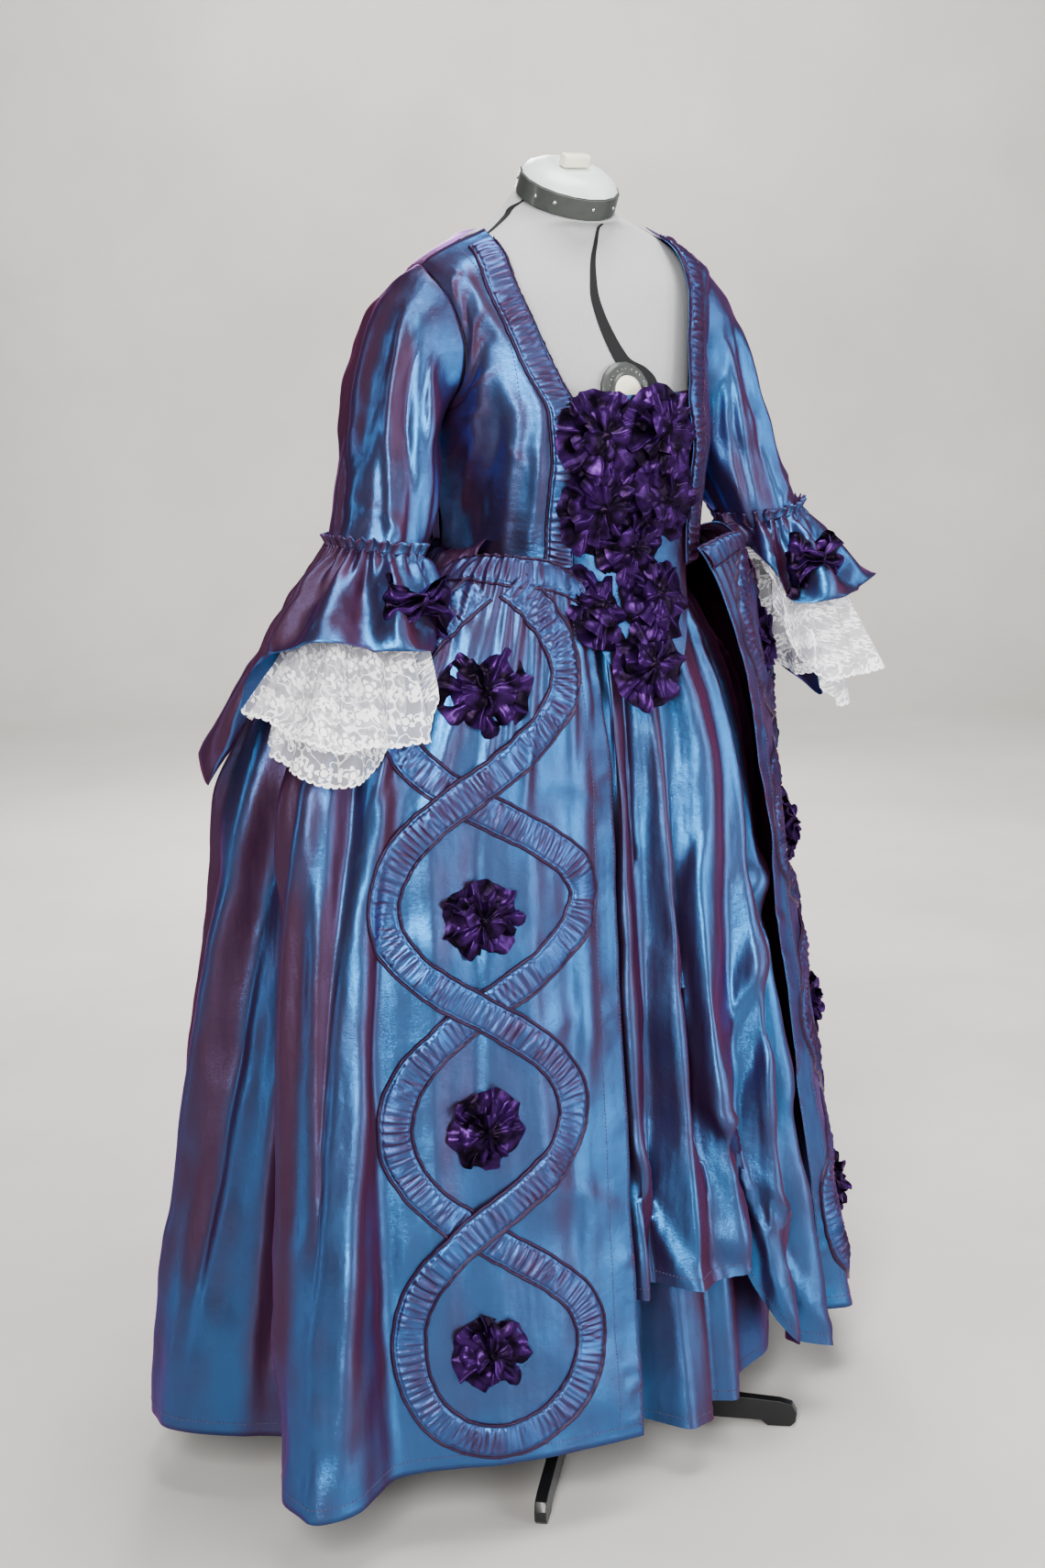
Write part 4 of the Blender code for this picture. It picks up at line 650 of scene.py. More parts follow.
def gap_strip(name, table, lift=0.0005, across=7, along=60):
    """A gap between two panels: a narrow near-black strip of painted shade just proud of the jersey, dropped
    on from in front.
    """
    line = through(np.array(table), np.linspace(0, 1, along))
    corners = []
    for x, z, half in line:
        for share in np.linspace(-1, 1, across):
            start = Vector((x + share * half, IN_FRONT, z))
            spot, normal, _, _ = torso_tree.ray_cast(start, Vector((0, 1, 0)))
            corners.append(spot + normal * lift)
    faces = [(k + c + across, k + c + across + 1, k + c + 1, k + c)
             for k in range(0, len(corners) - across, across) for c in range(across - 1)]
    put_on(shape_of(name, corners, faces, painted_gap_shade))


torso_tree = tree_of(form_torso)
gap_strip("chest_gap", CHEST_GAP)
gap_strip("neck_gap_right", NECK_GAP)
gap_strip("neck_gap_left", [(2 * FORM_AXIS[0] - x, z, half) for x, z, half in NECK_GAP])


# ---------------------------------------------------------------- overskirt panels
# Two shot taffeta panels, pleated into the waist over the hips and open in front. A wide facing is
# turned in along each front edge and sewn down, and the hem is turned up and stitched.
PANEL_CREASES = (
    # s, t at the start, s, t at the end, half width, height
    (0.030, 0.03, 0.034, 0.22, 0.005, 0.0022), (0.062, 0.03, 0.070, 0.26, 0.006, 0.0030),
    (0.095, 0.03, 0.112, 0.22, 0.005, 0.0026), (0.128, 0.03, 0.150, 0.30, 0.006, 0.0034),
    (0.160, 0.04, 0.176, 0.24, 0.005, 0.0026), (0.190, 0.04, 0.214, 0.30, 0.006, 0.0032),
    (0.222, 0.04, 0.240, 0.22, 0.006, 0.0028), (0.262, 0.04, 0.276, 0.30, 0.007, 0.0036),
    (0.305, 0.05, 0.318, 0.26, 0.006, 0.0030), (0.350, 0.05, 0.356, 0.28, 0.007, 0.0036),
    (0.055, 0.18, 0.060, 0.62, 0.012, 0.0030), (0.090, 0.24, 0.084, 0.90, 0.014, -0.0036),
    (0.150, 0.25, 0.130, 0.74, 0.014, 0.0032), (0.215, 0.26, 0.220, 0.66, 0.012, -0.0034),
    (0.285, 0.24, 0.262, 0.84, 0.016, 0.0042), (0.345, 0.28, 0.330, 0.92, 0.015, -0.0050),
    (0.400, 0.12, 0.405, 0.95, 0.014, 0.0060), (0.455, 0.10, 0.450, 0.80, 0.012, -0.0050),
    (0.505, 0.16, 0.520, 1.00, 0.016, 0.0070), (0.560, 0.12, 0.585, 0.84, 0.013, -0.0060),
    (0.615, 0.08, 0.640, 1.00, 0.016, 0.0072), (0.680, 0.10, 0.700, 0.92, 0.015, -0.0064),
    (0.735, 0.10, 0.752, 1.00, 0.018, 0.0060), (0.790, 0.14, 0.812, 0.86, 0.014, 0.0052),
    (0.850, 0.12, 0.858, 1.00, 0.018, -0.0068), (0.905, 0.10, 0.915, 0.96, 0.016, 0.0060),
    (0.955, 0.14, 0.965, 1.00, 0.014, -0.0044),
    (0.020, 0.30, 0.120, 0.26, 0.010, 0.0014), (0.075, 0.52, 0.170, 0.56, 0.011, 0.0016),
    (0.250, 0.47, 0.330, 0.42, 0.012, -0.0018), (0.030, 0.74, 0.130, 0.70, 0.010, 0.0014),
)
PANELS = (
    # side, its corner at the waist, columns in the frame, fine columns, seeds of its puckers and its dents
    ("right", (-0.0905, -0.2490, 1.068), 27, 200, 17, 3),
    ("left", (0.0775, -0.2490, 1.092), 21, 170, 18, 8),
)
PANEL_ROWS = 150
NEAR_FRONT, BEHIND = 1.2, 2.3               # heights of the creases there, as shares of the table's
PUCKERS = 46                                # where the facing's stitching draws the cloth in
panels = {}
for side, start, wide, fine, seed, dents in PANELS:
    panel = Cloth(wall_rows(f"skirt_{side}", start, wide), PANEL_ROWS, fine)
    panel.crease([(s0, t0, s1 if side == "right" else s1 * 0.99 + 0.01, t1, half,
                   tall * (NEAR_FRONT if s0 < 0.3 else BEHIND))
                  for s0, t0, s1, t1, half, tall in PANEL_CREASES])
    dice = random.Random(seed)
    puckers = [dice.uniform(0.03, 0.98) for _ in range(PUCKERS)]
    panel.crease([(0.001, t, dice.uniform(0.022, 0.040), t + dice.uniform(-0.008, 0.012),
                   dice.uniform(0.003, 0.006), dice.uniform(-0.0016, 0.0020)) for t in puckers])
    panel.gather(34, 0.0016, 0.0, 0.16, 61)
    panel.crumple(0.09, 0.0045, dents)
    panel.piece(f"overskirt_{side}", f"skirt_{side}", shot_taffeta, held="gathered",
                rests_on=["petticoat_gathered", "form_torso"])
    panels[side] = panel


# ---------------------------------------------------------------- sack back
# Two box pleats, stitched down at the neck, that fall free of the bodice into the skirt's back.
SACK_CREASES = (
    # s, t at the start, s, t at the end, half width, height
    (0.245, 0.00, 0.250, 1.00, 0.009, -0.0075), (0.500, 0.00, 0.500, 1.00, 0.010, -0.0090),
    (0.755, 0.00, 0.750, 1.00, 0.009, -0.0075), (0.125, 0.05, 0.120, 0.95, 0.014, 0.0040),
    (0.375, 0.04, 0.380, 1.00, 0.014, 0.0050), (0.625, 0.04, 0.620, 1.00, 0.014, 0.0050),
    (0.875, 0.05, 0.880, 0.95, 0.014, 0.0040), (0.310, 0.30, 0.300, 1.00, 0.012, -0.0030),
    (0.690, 0.34, 0.700, 0.96, 0.012, -0.0034), (0.180, 0.45, 0.165, 1.00, 0.016, 0.0040),
    (0.820, 0.40, 0.836, 1.00, 0.016, 0.0040), (0.060, 0.30, 0.050, 0.90, 0.012, -0.0030),
)
rows = wall_rows("sack_back", (-0.098, -0.0305, 1.431), 17, end=np.array((0.085, -0.0305, 1.431)))
sack = Cloth(rows, 160, 110).crease(SACK_CREASES).crumple(0.09, 0.003, 5)
sack.piece("sack_gown_back", "sack_back", shot_taffeta, held="hung", rests_on=["bodice_back_fitted"])


# ---------------------------------------------------------------- petticoat and underskirt
# The petticoat is gathered into its waistband and caught up at three points of the hem, so that it
# hangs in swags. The longer underskirt shows below it in soft tubes.
PETTICOAT_CREASES = (
    # s, t at the start, s, t at the end, half width, height
    (0.020, 0.06, 0.030, 0.80, 0.011, 0.0050), (0.055, 0.10, 0.068, 0.66, 0.010, -0.0044),
    (0.090, 0.08, 0.112, 0.76, 0.012, 0.0056), (0.130, 0.12, 0.150, 0.70, 0.010, -0.0044),
    (0.165, 0.10, 0.190, 0.78, 0.013, 0.0050), (0.970, 0.08, 0.960, 0.82, 0.011, 0.0046),
    (0.935, 0.10, 0.925, 0.76, 0.010, -0.0040), (0.895, 0.12, 0.880, 0.80, 0.012, 0.0050),
)
HITCHES = (
    # place of a catch in the hem, and the folds that fan from it: across, how far down, half width, height
    ((0.0449, -0.2943, 0.4653),
     ((-0.075, 0.9, 0.014, 0.014), (-0.045, 1.0, 0.011, -0.012), (-0.018, 1.0, 0.012, 0.015),
      (0.010, 0.9, 0.010, -0.012), (0.034, 1.0, 0.013, 0.013), (0.020, -0.6, 0.010, 0.008),
      (-0.012, -0.8, 0.010, -0.008))),
    ((0.1455, -0.3112, 0.3318),
     ((-0.050, 0.8, 0.012, 0.013), (-0.022, 1.0, 0.010, -0.011), (0.004, 1.0, 0.012, 0.014),
      (0.028, 1.0, 0.011, -0.010), (0.050, 0.9, 0.013, 0.012), (-0.014, -0.9, 0.010, 0.008))),
    ((-0.0850, -0.2943, 0.4400),
     ((-0.050, 0.9, 0.013, 0.012), (-0.022, 1.0, 0.011, -0.011), (0.010, 1.0, 0.012, 0.012),
      (0.036, 0.9, 0.012, -0.011), (-0.010, -0.7, 0.010, 0.008))),
)
rows = wall_rows("petticoat", (-0.0065, -0.2100, 1.063), 43, closed=True)
petticoat = Cloth(rows, 150, 300, closed=True).gather(38, 0.0030, 0.0, 0.45, 71)
for place, fan in HITCHES:
    nearest = np.linalg.norm(petticoat.points - np.array(place), axis=-1).argmin()
    t = nearest // petticoat.across / (petticoat.down - 1)
    s = nearest % petticoat.across / petticoat.across
    petticoat.crease([(s, t, (s + aside) % 1, t + (1.04 - t) * down if down > 0 else t + 0.4 * down, half,
                       tall * 0.62) for aside, down, half, tall in fan
                      if 0.09 < s < 0.91 or abs((s + aside) % 1 - s) < 0.5])
petticoat.crease([(*fold[:5], fold[5] * 1.7) for fold in PETTICOAT_CREASES]).crumple(0.10, 0.005, 11)
petticoat.piece("petticoat_gathered", "petticoat", shot_taffeta, wall=0, held="gathered",
                rests_on=["form_torso"])

rows = wall_rows("underskirt", (-0.0065, -0.2080, 1.060), 33, closed=True)
underskirt = Cloth(rows, 70, 220, closed=True).crumple(0.10, 0.003, 12)
underskirt.piece("underskirt_plain", "underskirt", shot_taffeta, wall=0, held="gathered",
                 rests_on=["form_torso"])


# ---------------------------------------------------------------- bodice
# Two fronts and a back, fitted with darts and sewn to the skirts at the waist.
BODICE_CREASES = (
    # s, t at the start, s, t at the end, half width, height
    (0.30, 0.02, 0.34, 0.62, 0.006, 0.0016), (0.47, 0.02, 0.52, 0.55, 0.008, 0.0022),
    (0.66, 0.05, 0.60, 0.50, 0.009, -0.0022), (0.80, 0.10, 0.62, 0.42, 0.008, 0.0026),
    (0.90, 0.24, 0.70, 0.58, 0.008, 0.0024), (0.92, 0.40, 0.66, 0.66, 0.007, -0.0020),
    (0.42, 0.64, 0.52, 0.92, 0.008, 0.0018), (0.22, 0.10, 0.25, 0.40, 0.007, 0.0014),
    (0.88, 0.05, 0.78, 0.20, 0.007, 0.0020), (0.97, 0.50, 0.50, 0.58, 0.005, 0.0018),
    (0.96, 0.58, 0.46, 0.68, 0.004, -0.0014), (0.97, 0.64, 0.52, 0.76, 0.005, 0.0018),
    (0.95, 0.72, 0.56, 0.82, 0.004, -0.0014), (0.97, 0.80, 0.60, 0.88, 0.005, 0.0018),
    (0.96, 0.34, 0.58, 0.46, 0.005, 0.0016), (0.30, 0.30, 0.44, 0.36, 0.005, 0.0012),
)
bodices = {}
for side, start in (("right", (-0.0870, -0.2340, 1.072)), ("left", (0.0740, -0.2340, 1.072))):
    front = Cloth(wall_rows(f"bodice_{side}", start, 10), 76, 60)
    front.crease(BODICE_CREASES).crumple(0.05, 0.0016, 21)
    front.piece(f"bodice_front_{side}", f"bodice_{side}", fitted_taffeta, held="laid",
                rests_on=["form_torso"])
    bodices[side] = front
back = Cloth(wall_rows("bodice_back", (-0.1600, -0.0850, 1.096), 15), 60, 90).crumple(0.05, 0.0012, 22)
back.piece("bodice_back_fitted", "bodice_back", fitted_taffeta, wall=0, held="laid", rests_on=["form_torso"])


# ---------------------------------------------------------------- sleeves
# Elbow sleeves, eased into the armholes, with long folds where the cloth is full.
SLEEVE_CREASES = (
    # s, t at the start, s, t at the end, half width, height
    (0.960, 0.06, 0.060, 0.92, 0.009, 0.0042), (0.040, 0.10, 0.150, 0.96, 0.009, 0.0040),
    (0.110, 0.16, 0.230, 0.98, 0.010, -0.0044), (0.180, 0.10, 0.300, 0.90, 0.009, 0.0038),
    (0.250, 0.22, 0.360, 0.98, 0.008, 0.0036), (0.880, 0.08, 0.960, 0.98, 0.010, -0.0040),
    (0.800, 0.10, 0.860, 0.92, 0.010, 0.0042), (0.700, 0.12, 0.760, 0.90, 0.011, 0.0040),
    (0.600, 0.16, 0.640, 0.90, 0.011, -0.0040), (0.480, 0.14, 0.520, 0.86, 0.011, 0.0036),
    (0.400, 0.30, 0.430, 0.94, 0.010, -0.0034), (0.020, 0.78, 0.200, 0.86, 0.007, 0.0022),
)
SLEEVE_TOP = {"right": (-0.2000, -0.1370, 1.394), "left": (0.1870, -0.1370, 1.394)}
ELBOW = {"right": (-0.2930, -0.1445), "left": (0.2800, -0.1445)}
for side, elbow in ELBOW.items():
    rows = wall_rows(f"sleeve_{side}", SLEEVE_TOP[side], 18, closed=True)
    arm = Cloth(rows, 90, 100, closed=True, centre=(elbow[0] * 0.86, -0.13, 1.25))
    arm.crease([(*fold[:4], fold[4] * 0.9, fold[5] * 1.35) for fold in SLEEVE_CREASES])
    arm.crumple(0.06, 0.004, 31)
    arm.piece(f"sleeve_{side}_eased", f"sleeve_{side}", shot_taffeta, held="hung",
              rests_on=[f"bodice_front_{side}"])


# ---------------------------------------------------------------- cuff flounces and lace
# At the elbow a taffeta flounce, cut short in the bend and long behind, gathered under a narrow
# pleated heading. Below it hang two layers of white net worked with flowers and a scalloped hem.
FLOWER_WIDE = 0.034
FLOWER_TALL = 0.029
SCALLOP = 0.010

lace_thread = Finish("lace_thread", (0.86, 0.84, 0.86), 0.75, sheen_weight=0.3, sheen_roughness=0.4)
places = lace_thread.node("UVMap", {"uv_map": "thread"}, {})
flat = lace_thread.node("SeparateXYZ", {}, {"Vector": places}, "X")
drop = lace_thread.node("SeparateXYZ", {}, {"Vector": places}, "Y")
rise = lace_thread.node("Attribute", {"attribute_name": "rise"}, {}, "Fac")
odd_row = (drop / (2 * FLOWER_TALL)).modulo(1.0).above(0.5)
across = (flat + odd_row * (FLOWER_WIDE / 2)).modulo(FLOWER_WIDE) - FLOWER_WIDE / 2
along = drop.modulo(FLOWER_TALL) - FLOWER_TALL / 2
reach = (across * across + along * along) ** 0.5
petals = 0.0082 + 0.0026 * (along.angle(across) * 5.0).cosine()
bloom = petals.above(reach) * (1 - ((reach / 0.0050 - 1.0).size() * -1 + 0.16).above(0.0))
corner_across = (flat + odd_row * (FLOWER_WIDE / 2) + FLOWER_WIDE / 2).modulo(FLOWER_WIDE) - FLOWER_WIDE / 2
corner_reach = (corner_across * corner_across + along * along * 0.5) ** 0.5
leaf = (0.0042 + 0.0024 * (along.angle(corner_across) * 3.0).cosine()).above(corner_reach)
stem = 0.022 - (lace_thread.cloud(places, 52.0, 1.0) - 0.5).size()
scallop = (flat / SCALLOP * math.pi).sine().size() * 0.0030
from_edge = 0.0032 - rise
on_edge = (scallop + 0.0010).above(from_edge)
band = on_edge * (1 - (scallop - 0.0022).above(from_edge))
net = 0.30 + 0.12 * lace_thread.cloud(places, 900.0, 1.0)
worked = bloom.most(leaf).most(stem.above(0.0) * 0.8).most(band)
lace_thread.feed("Alpha", (net + worked * 0.72).least(0.99) * on_edge.most(rise.above(0.0040)))
lace_thread.feed("Base Color", lace_thread.blend(worked, (0.80, 0.80, 0.86), (0.97, 0.96, 0.98)))
lace_thread.relief(worked, 0.0008, 0.6)

# Tables of degrees round the elbow, from the front to the arm's outer side, and metres. The flounce is
# short over the elbow's bend and long behind. Flounce and lace stand out on the outer side.
CUFF_CUT = ((-180, 0.30), (-60, 0.30), (30, 0.118), (60, 0.124), (92, 0.132), (104, 0.165), (120, 0.30),
            (180, 0.30))
CUFF_FLARE = ((-180, 0.0), (40, 0.0), (70, 0.020), (95, 0.045), (125, 0.058), (150, 0.030), (180, 0.0))
LACE_FLARE = ((-180, 0.0), (-30, 0.0), (20, 0.010), (60, 0.040), (88, 0.068), (112, 0.046), (138, 0.006),
              (180, 0.0))
FLARE_SHARE = {"right": (1.0, 1.0), "left": (0.4, 0.55)}    # of the flounce and of the lace
HEADING_PLEATS = 27
OUTER = {"right": -1, "left": 1}            # the way x runs from the body to each arm


def read_table(table, places):
    """Values of a table between its rows."""
    return np.interp(places, [row[0] for row in table], [row[1] for row in table])


def turn_from_front(cloth, side):
    """Degrees around the elbow of each point, from the front to the arm's outer side."""
    x = (cloth.points[..., 0] - ELBOW[side][0]) * OUTER[side]
    return np.degrees(np.arctan2(x, -(cloth.points[..., 1] - ELBOW[side][1])))


def flared(cloth, side, table, furthest, share):
    """Swing the hem out by a table of turn and metres, at most that far round from the front."""
    turns = turn_from_front(cloth, side)
    angle = np.radians(np.clip(turns, -60, furthest))
    flare = read_table(table, turns) * cloth.t ** 1.3 * share
    way = np.stack((np.sin(angle) * OUTER[side], -np.cos(angle), np.full_like(angle, 0.25)), axis=-1)
    cloth.points += flare[..., None] * way
    cloth.measure()


cuffs = {}
for side, elbow in ELBOW.items():
    middle = (*elbow, 1.06)
    flounce_share, lace_share = FLARE_SHARE[side]
    rows = wall_rows(f"cuff_{side}", (elbow[0], -0.190, 1.112), 32, closed=True)
    flounce = Cloth(rows, 44, 200, closed=True, centre=middle)
    turns = turn_from_front(flounce, side)[9]
    kept = np.minimum(read_table(CUFF_CUT, turns) / np.maximum(flounce.v[-1], 0.001), 1)
    for column in range(flounce.across):
        line = np.vstack((flounce.points[:, column], flounce.points[-1:, column]))
        rows = np.linspace(0, (flounce.down - 1) * kept[column], flounce.down)
        flounce.points[:, column] = [line[int(r)] * (1 - r % 1) + line[int(r) + 1] * (r % 1) for r in rows]
    flared(flounce, side, CUFF_FLARE, 150, flounce_share)
    flounce.gather(24, 0.0042, 0.0, 0.5, 43).gather(11, 0.0095, 0.10, 1.0, 44).crumple(0.05, 0.005, 41)
    flounce.piece(f"cuff_{side}_flounce", f"cuff_{side}", shot_taffeta, held="gathered",
                  rests_on=[f"sleeve_{side}_eased"])
    cuffs[side] = flounce
    ring = flounce.points[0, ::4]
    out = ring - ring.mean(axis=0)
    out[:, 2] = 0
    out /= np.linalg.norm(out, axis=1, keepdims=True)
    rings = [ring + out * away + np.array((0.0, 0.0, up))
             for away, up in ((0.0010, -0.002), (0.0022, 0.004), (0.0050, 0.0115))]
    heading = Cloth(np.array(rings), 7, 216, closed=True, centre=middle)
    pleats = np.sin(2 * math.pi * HEADING_PLEATS * heading.s + 2 * np.sin(9 * heading.s))
    heading.points = heading.points + heading.normals * (0.0030 * pleats * heading.t ** 0.7)[..., None]
    # The whole heading gets more of the painted shade.
    heading.painted_shade += 0.4
    heading.piece(f"cuff_{side}_heading", None, shot_taffeta, held="gathered",
                  rests_on=[f"sleeve_{side}_eased"])
    for layer, wide, share in (("upper", 28, 1.0), ("lower", 26, 0.55)):
        rows = wall_rows(f"lace_{layer}_{side}", (elbow[0], -0.188, 1.088), wide, closed=True)
        lace = Cloth(rows, 44, 260, closed=True, centre=middle)
        flared(lace, side, LACE_FLARE, 100, share * lace_share)
        lace.gather(31, 0.0030, 0.0, 1.4, 45).gather(14, 0.0085, 0.15, 1.2, 46)
        lace.piece(f"lace_{side}_{layer}", f"lace_{layer}_{side}", lace_thread, wall=0, slot="lace",
                   held="gathered", rests_on=[f"cuff_{side}_flounce"])


# ---------------------------------------------------------------- pleated skirt tops over the hips
# Behind the waist bands the panels stand off the body over the hips. Their tops are pleated in to the
# waist seam there, in uneven knife pleats.
PLEATS_FROM, PLEATS_TO, PLEAT_PLACES = 0.30, 0.86, 15   # shares across the panel's top
SEAM_HEIGHT = 1.100
torso_and_bodice = [bodices["right"].tree(), bodices["left"].tree(), back.tree(), torso_tree]
for side, panel in panels.items():
    outer, inner = [], []
    for share in np.linspace(PLEATS_FROM, PLEATS_TO, PLEAT_PLACES):
        column = int(round(share * panel.spans))
        spot = Vector(panel.points[0, column]) - Vector(panel.normals[0, column]) * 0.0022
        way = Vector((FORM_AXIS[0] - spot.x, FORM_AXIS[1] - 0.02 - spot.y, 0)).normalized()
        hits = [tree.ray_cast(Vector((spot.x, spot.y, SEAM_HEIGHT)), way, 0.12) for tree in torso_and_bodice]
        near = min((hit[3] for hit in hits if hit[0] is not None), default=0.02)
        outer.append(spot + Vector((0, 0, -0.004)))
        inner.append(Vector((spot.x, spot.y, max(spot.z, 1.088) + 0.010)) + way * max(near - 0.003, 0.004))
    outer, inner = np.array(outer), np.array(inner)
    raised = (0, 0, 0.008)
    rows = np.array([outer, outer * 0.7 + inner * 0.3 + raised, outer * 0.3 + inner * 0.7 + raised, inner])
    top = Cloth(rows, 18, 120, centre=(*FORM_AXIS, 0.8))
    top.gather(9, 0.0036, 0.0, 1.6, 52).crumple(0.03, 0.003, 53)
    top.piece(f"hip_pleats_{side}", None, shot_taffeta, held="folded", rests_on=["form_torso"])


# ---------------------------------------------------------------- ruched ribbons, robings and waist bands
# Strips of the same taffeta, gathered across along both edges, with a corded edge in dark plum. The
# ribbon runs in four loops down each skirt front; robings edge the bodice; bands cover the waist seam.
RIBBON_WIDTH = 0.041
ROBING_WIDTH = 0.036
BAND_WIDTH = 0.036
RUCHE_HEIGHT = 0.0056
RUCHE_RUN = 0.0082                          # from one gather to the next
CORD_SHARE = 0.78                           # share of the half width where the corded edge begins
STRIP_COLUMNS = (                           # shares of the half width
    -1, -0.97, -0.90, -0.83, -0.79, -0.70, -0.56, -0.40, -0.20, 0,
    0.20, 0.40, 0.56, 0.70, 0.79, 0.83, 0.90, 0.97, 1,
)
STRIP_STEP = 0.0026
RIBBON_TUCKED = 0.034                       # each end of a ribbon runs on under the waist band
CROSSING_HEIGHTS = (0.850, 0.614, 0.366)
CROSSING_HOP = 0.0044
CROSSING_RUN = 0.034

ruched_taffeta = taffeta("ruched_taffeta", (0.045, 0.20, 0.48), (0.060, 0.014, 0.055), 0.18, 0.5,
                         (1.0, 1.0, 1.0))
corded_edge = Finish("corded_edge", (0.030, 0.012, 0.044), 0.42, metallic=0.35, sheen_weight=0.3,
                     sheen_tint=(0.5, 0.15, 0.4), sheen_roughness=0.4)


def ring_rows(name, start, wide):
    """Rings of points of a strip's solid, from its end nearest to start."""
    points, around = woven(name)
    odd = [k for k in range(len(points)) if len(around[k]) != 6]
    near = sorted(odd, key=lambda k: np.linalg.norm(points[k] - start))[:4]
    low = [k for k in near if len(around[k]) == 4]
    high = [k for k in near if len(around[k]) == 5]
    if wide == 4:
        ring = [high[0], low[0], high[1], low[1]]
    else:
        b = next(k for k in high if k in around[low[0]])
        c = next(k for k in high if k != b)
        shared = set(around[low[0]]) & set(around[low[1]]) & set(around[b]) & set(around[c])
        ring = [(shared - {b, c}).pop(), low[0], b, c, low[1]]
    rings = [ring]
    side = int(all(around[a][b] not in ring for a, b in zip(ring, ring[1:] + ring[:1])))
    while True:
        after = beyond(around, zip(ring, ring[1:] + ring[:1]), side)
        if set(after) <= set(ring):
            return points[np.array(rings)]
        turned = after[-1:] + after[:-1]
        runs = [np.linalg.norm(points[line] - points[ring], axis=1).sum() for line in (after, turned)]
        ring = after if runs[0] < runs[1] else turned
        rings.append(ring)


def strip_line(name, start, wide):
    """Middle line of a strip's solid on the cloth, its direction across and its way out."""
    rings = ring_rows(name, start, wide)
    apart = np.linalg.norm(rings[0][:, None] - rings[0][None], axis=-1)
    left, right = np.unravel_index(apart.argmax(), apart.shape)
    others = [k for k in range(wide) if k not in (left, right)]
    middle = (rings[:, left] + rings[:, right]) / 2
    across = rings[:, right] - rings[:, left]
    across /= np.linalg.norm(across, axis=1, keepdims=True)
    out = rings[:, others].mean(axis=1) - middle
    out -= across * (out * across).sum(axis=1, keepdims=True)
    return middle, across, out / np.linalg.norm(out, axis=1, keepdims=True)


def wander(places, seed, run):
    """An uneven line between about -1 and 1 with bends a run apart."""
    dice = random.Random(seed)
    total = np.zeros_like(places)
    for size in (2.7, 1.6, 1.0, 0.63):
        turns = places / (run * size * dice.uniform(0.85, 1.15))
        total += math.sqrt(size) * np.sin(2 * math.pi * turns + dice.uniform(0, 6.3))
    return total / 2.9


def run_on(middle, across, out, reach):
    """A strip's line carried on at its start by a reach, with the bend that it has there."""
    run, bend = middle[0] - middle[1], middle[0] - 2 * middle[1] + middle[2]
    run = run / np.linalg.norm(run) * reach + bend * (reach / np.linalg.norm(run)) ** 2
    square = across[0] - run * (across[0] @ run) / (run @ run)
    return np.vstack((middle[0] + run, middle)), np.vstack((square, across)), np.vstack((out[0], out))


def ruche_heights(q, places, seed):
    """Height over the cloth at shares across a strip and places along it."""
    pace = 1 / (RUCHE_RUN * (1 + 0.50 * wander(places, seed, 0.045)))
    phase = (2 * math.pi * np.cumsum(pace) * (places[1] - places[0]))[:, None]
    slant = 2.6 * wander(places, seed + 1, 0.07)[:, None] * q
    slant = slant + 2.4 * wander(places, seed + 2, 0.03)[:, None] * q * q
    fold = 0.5 + 0.5 * np.sin(phase + slant)
    second = 0.5 + 0.5 * np.sin(1.9 * phase - 1.2 * slant + 2 * q)
    puff = np.sqrt(np.clip(1 - (np.abs(q) / 0.81) ** 2, 0, 1))
    gather = (0.72 * fold ** 1.4 + 0.28 * second) * (1 + 0.25 * wander(places, seed + 3, 0.06)[:, None])
    height = 0.0008 + RUCHE_HEIGHT * (0.12 + 0.88 * gather) * (0.30 + 0.70 * puff)
    roll = np.sqrt(np.clip(1 - ((np.abs(q) - 0.905) / 0.098) ** 2, 0, 1))
    cord = 0.0002 + 0.0030 * roll * (1 + 0.22 * np.sin(phase * 2.3))
    height = np.where(np.abs(q) >= CORD_SHARE, cord, height)
    height[:, (0, -1)] = -0.0002
    return height


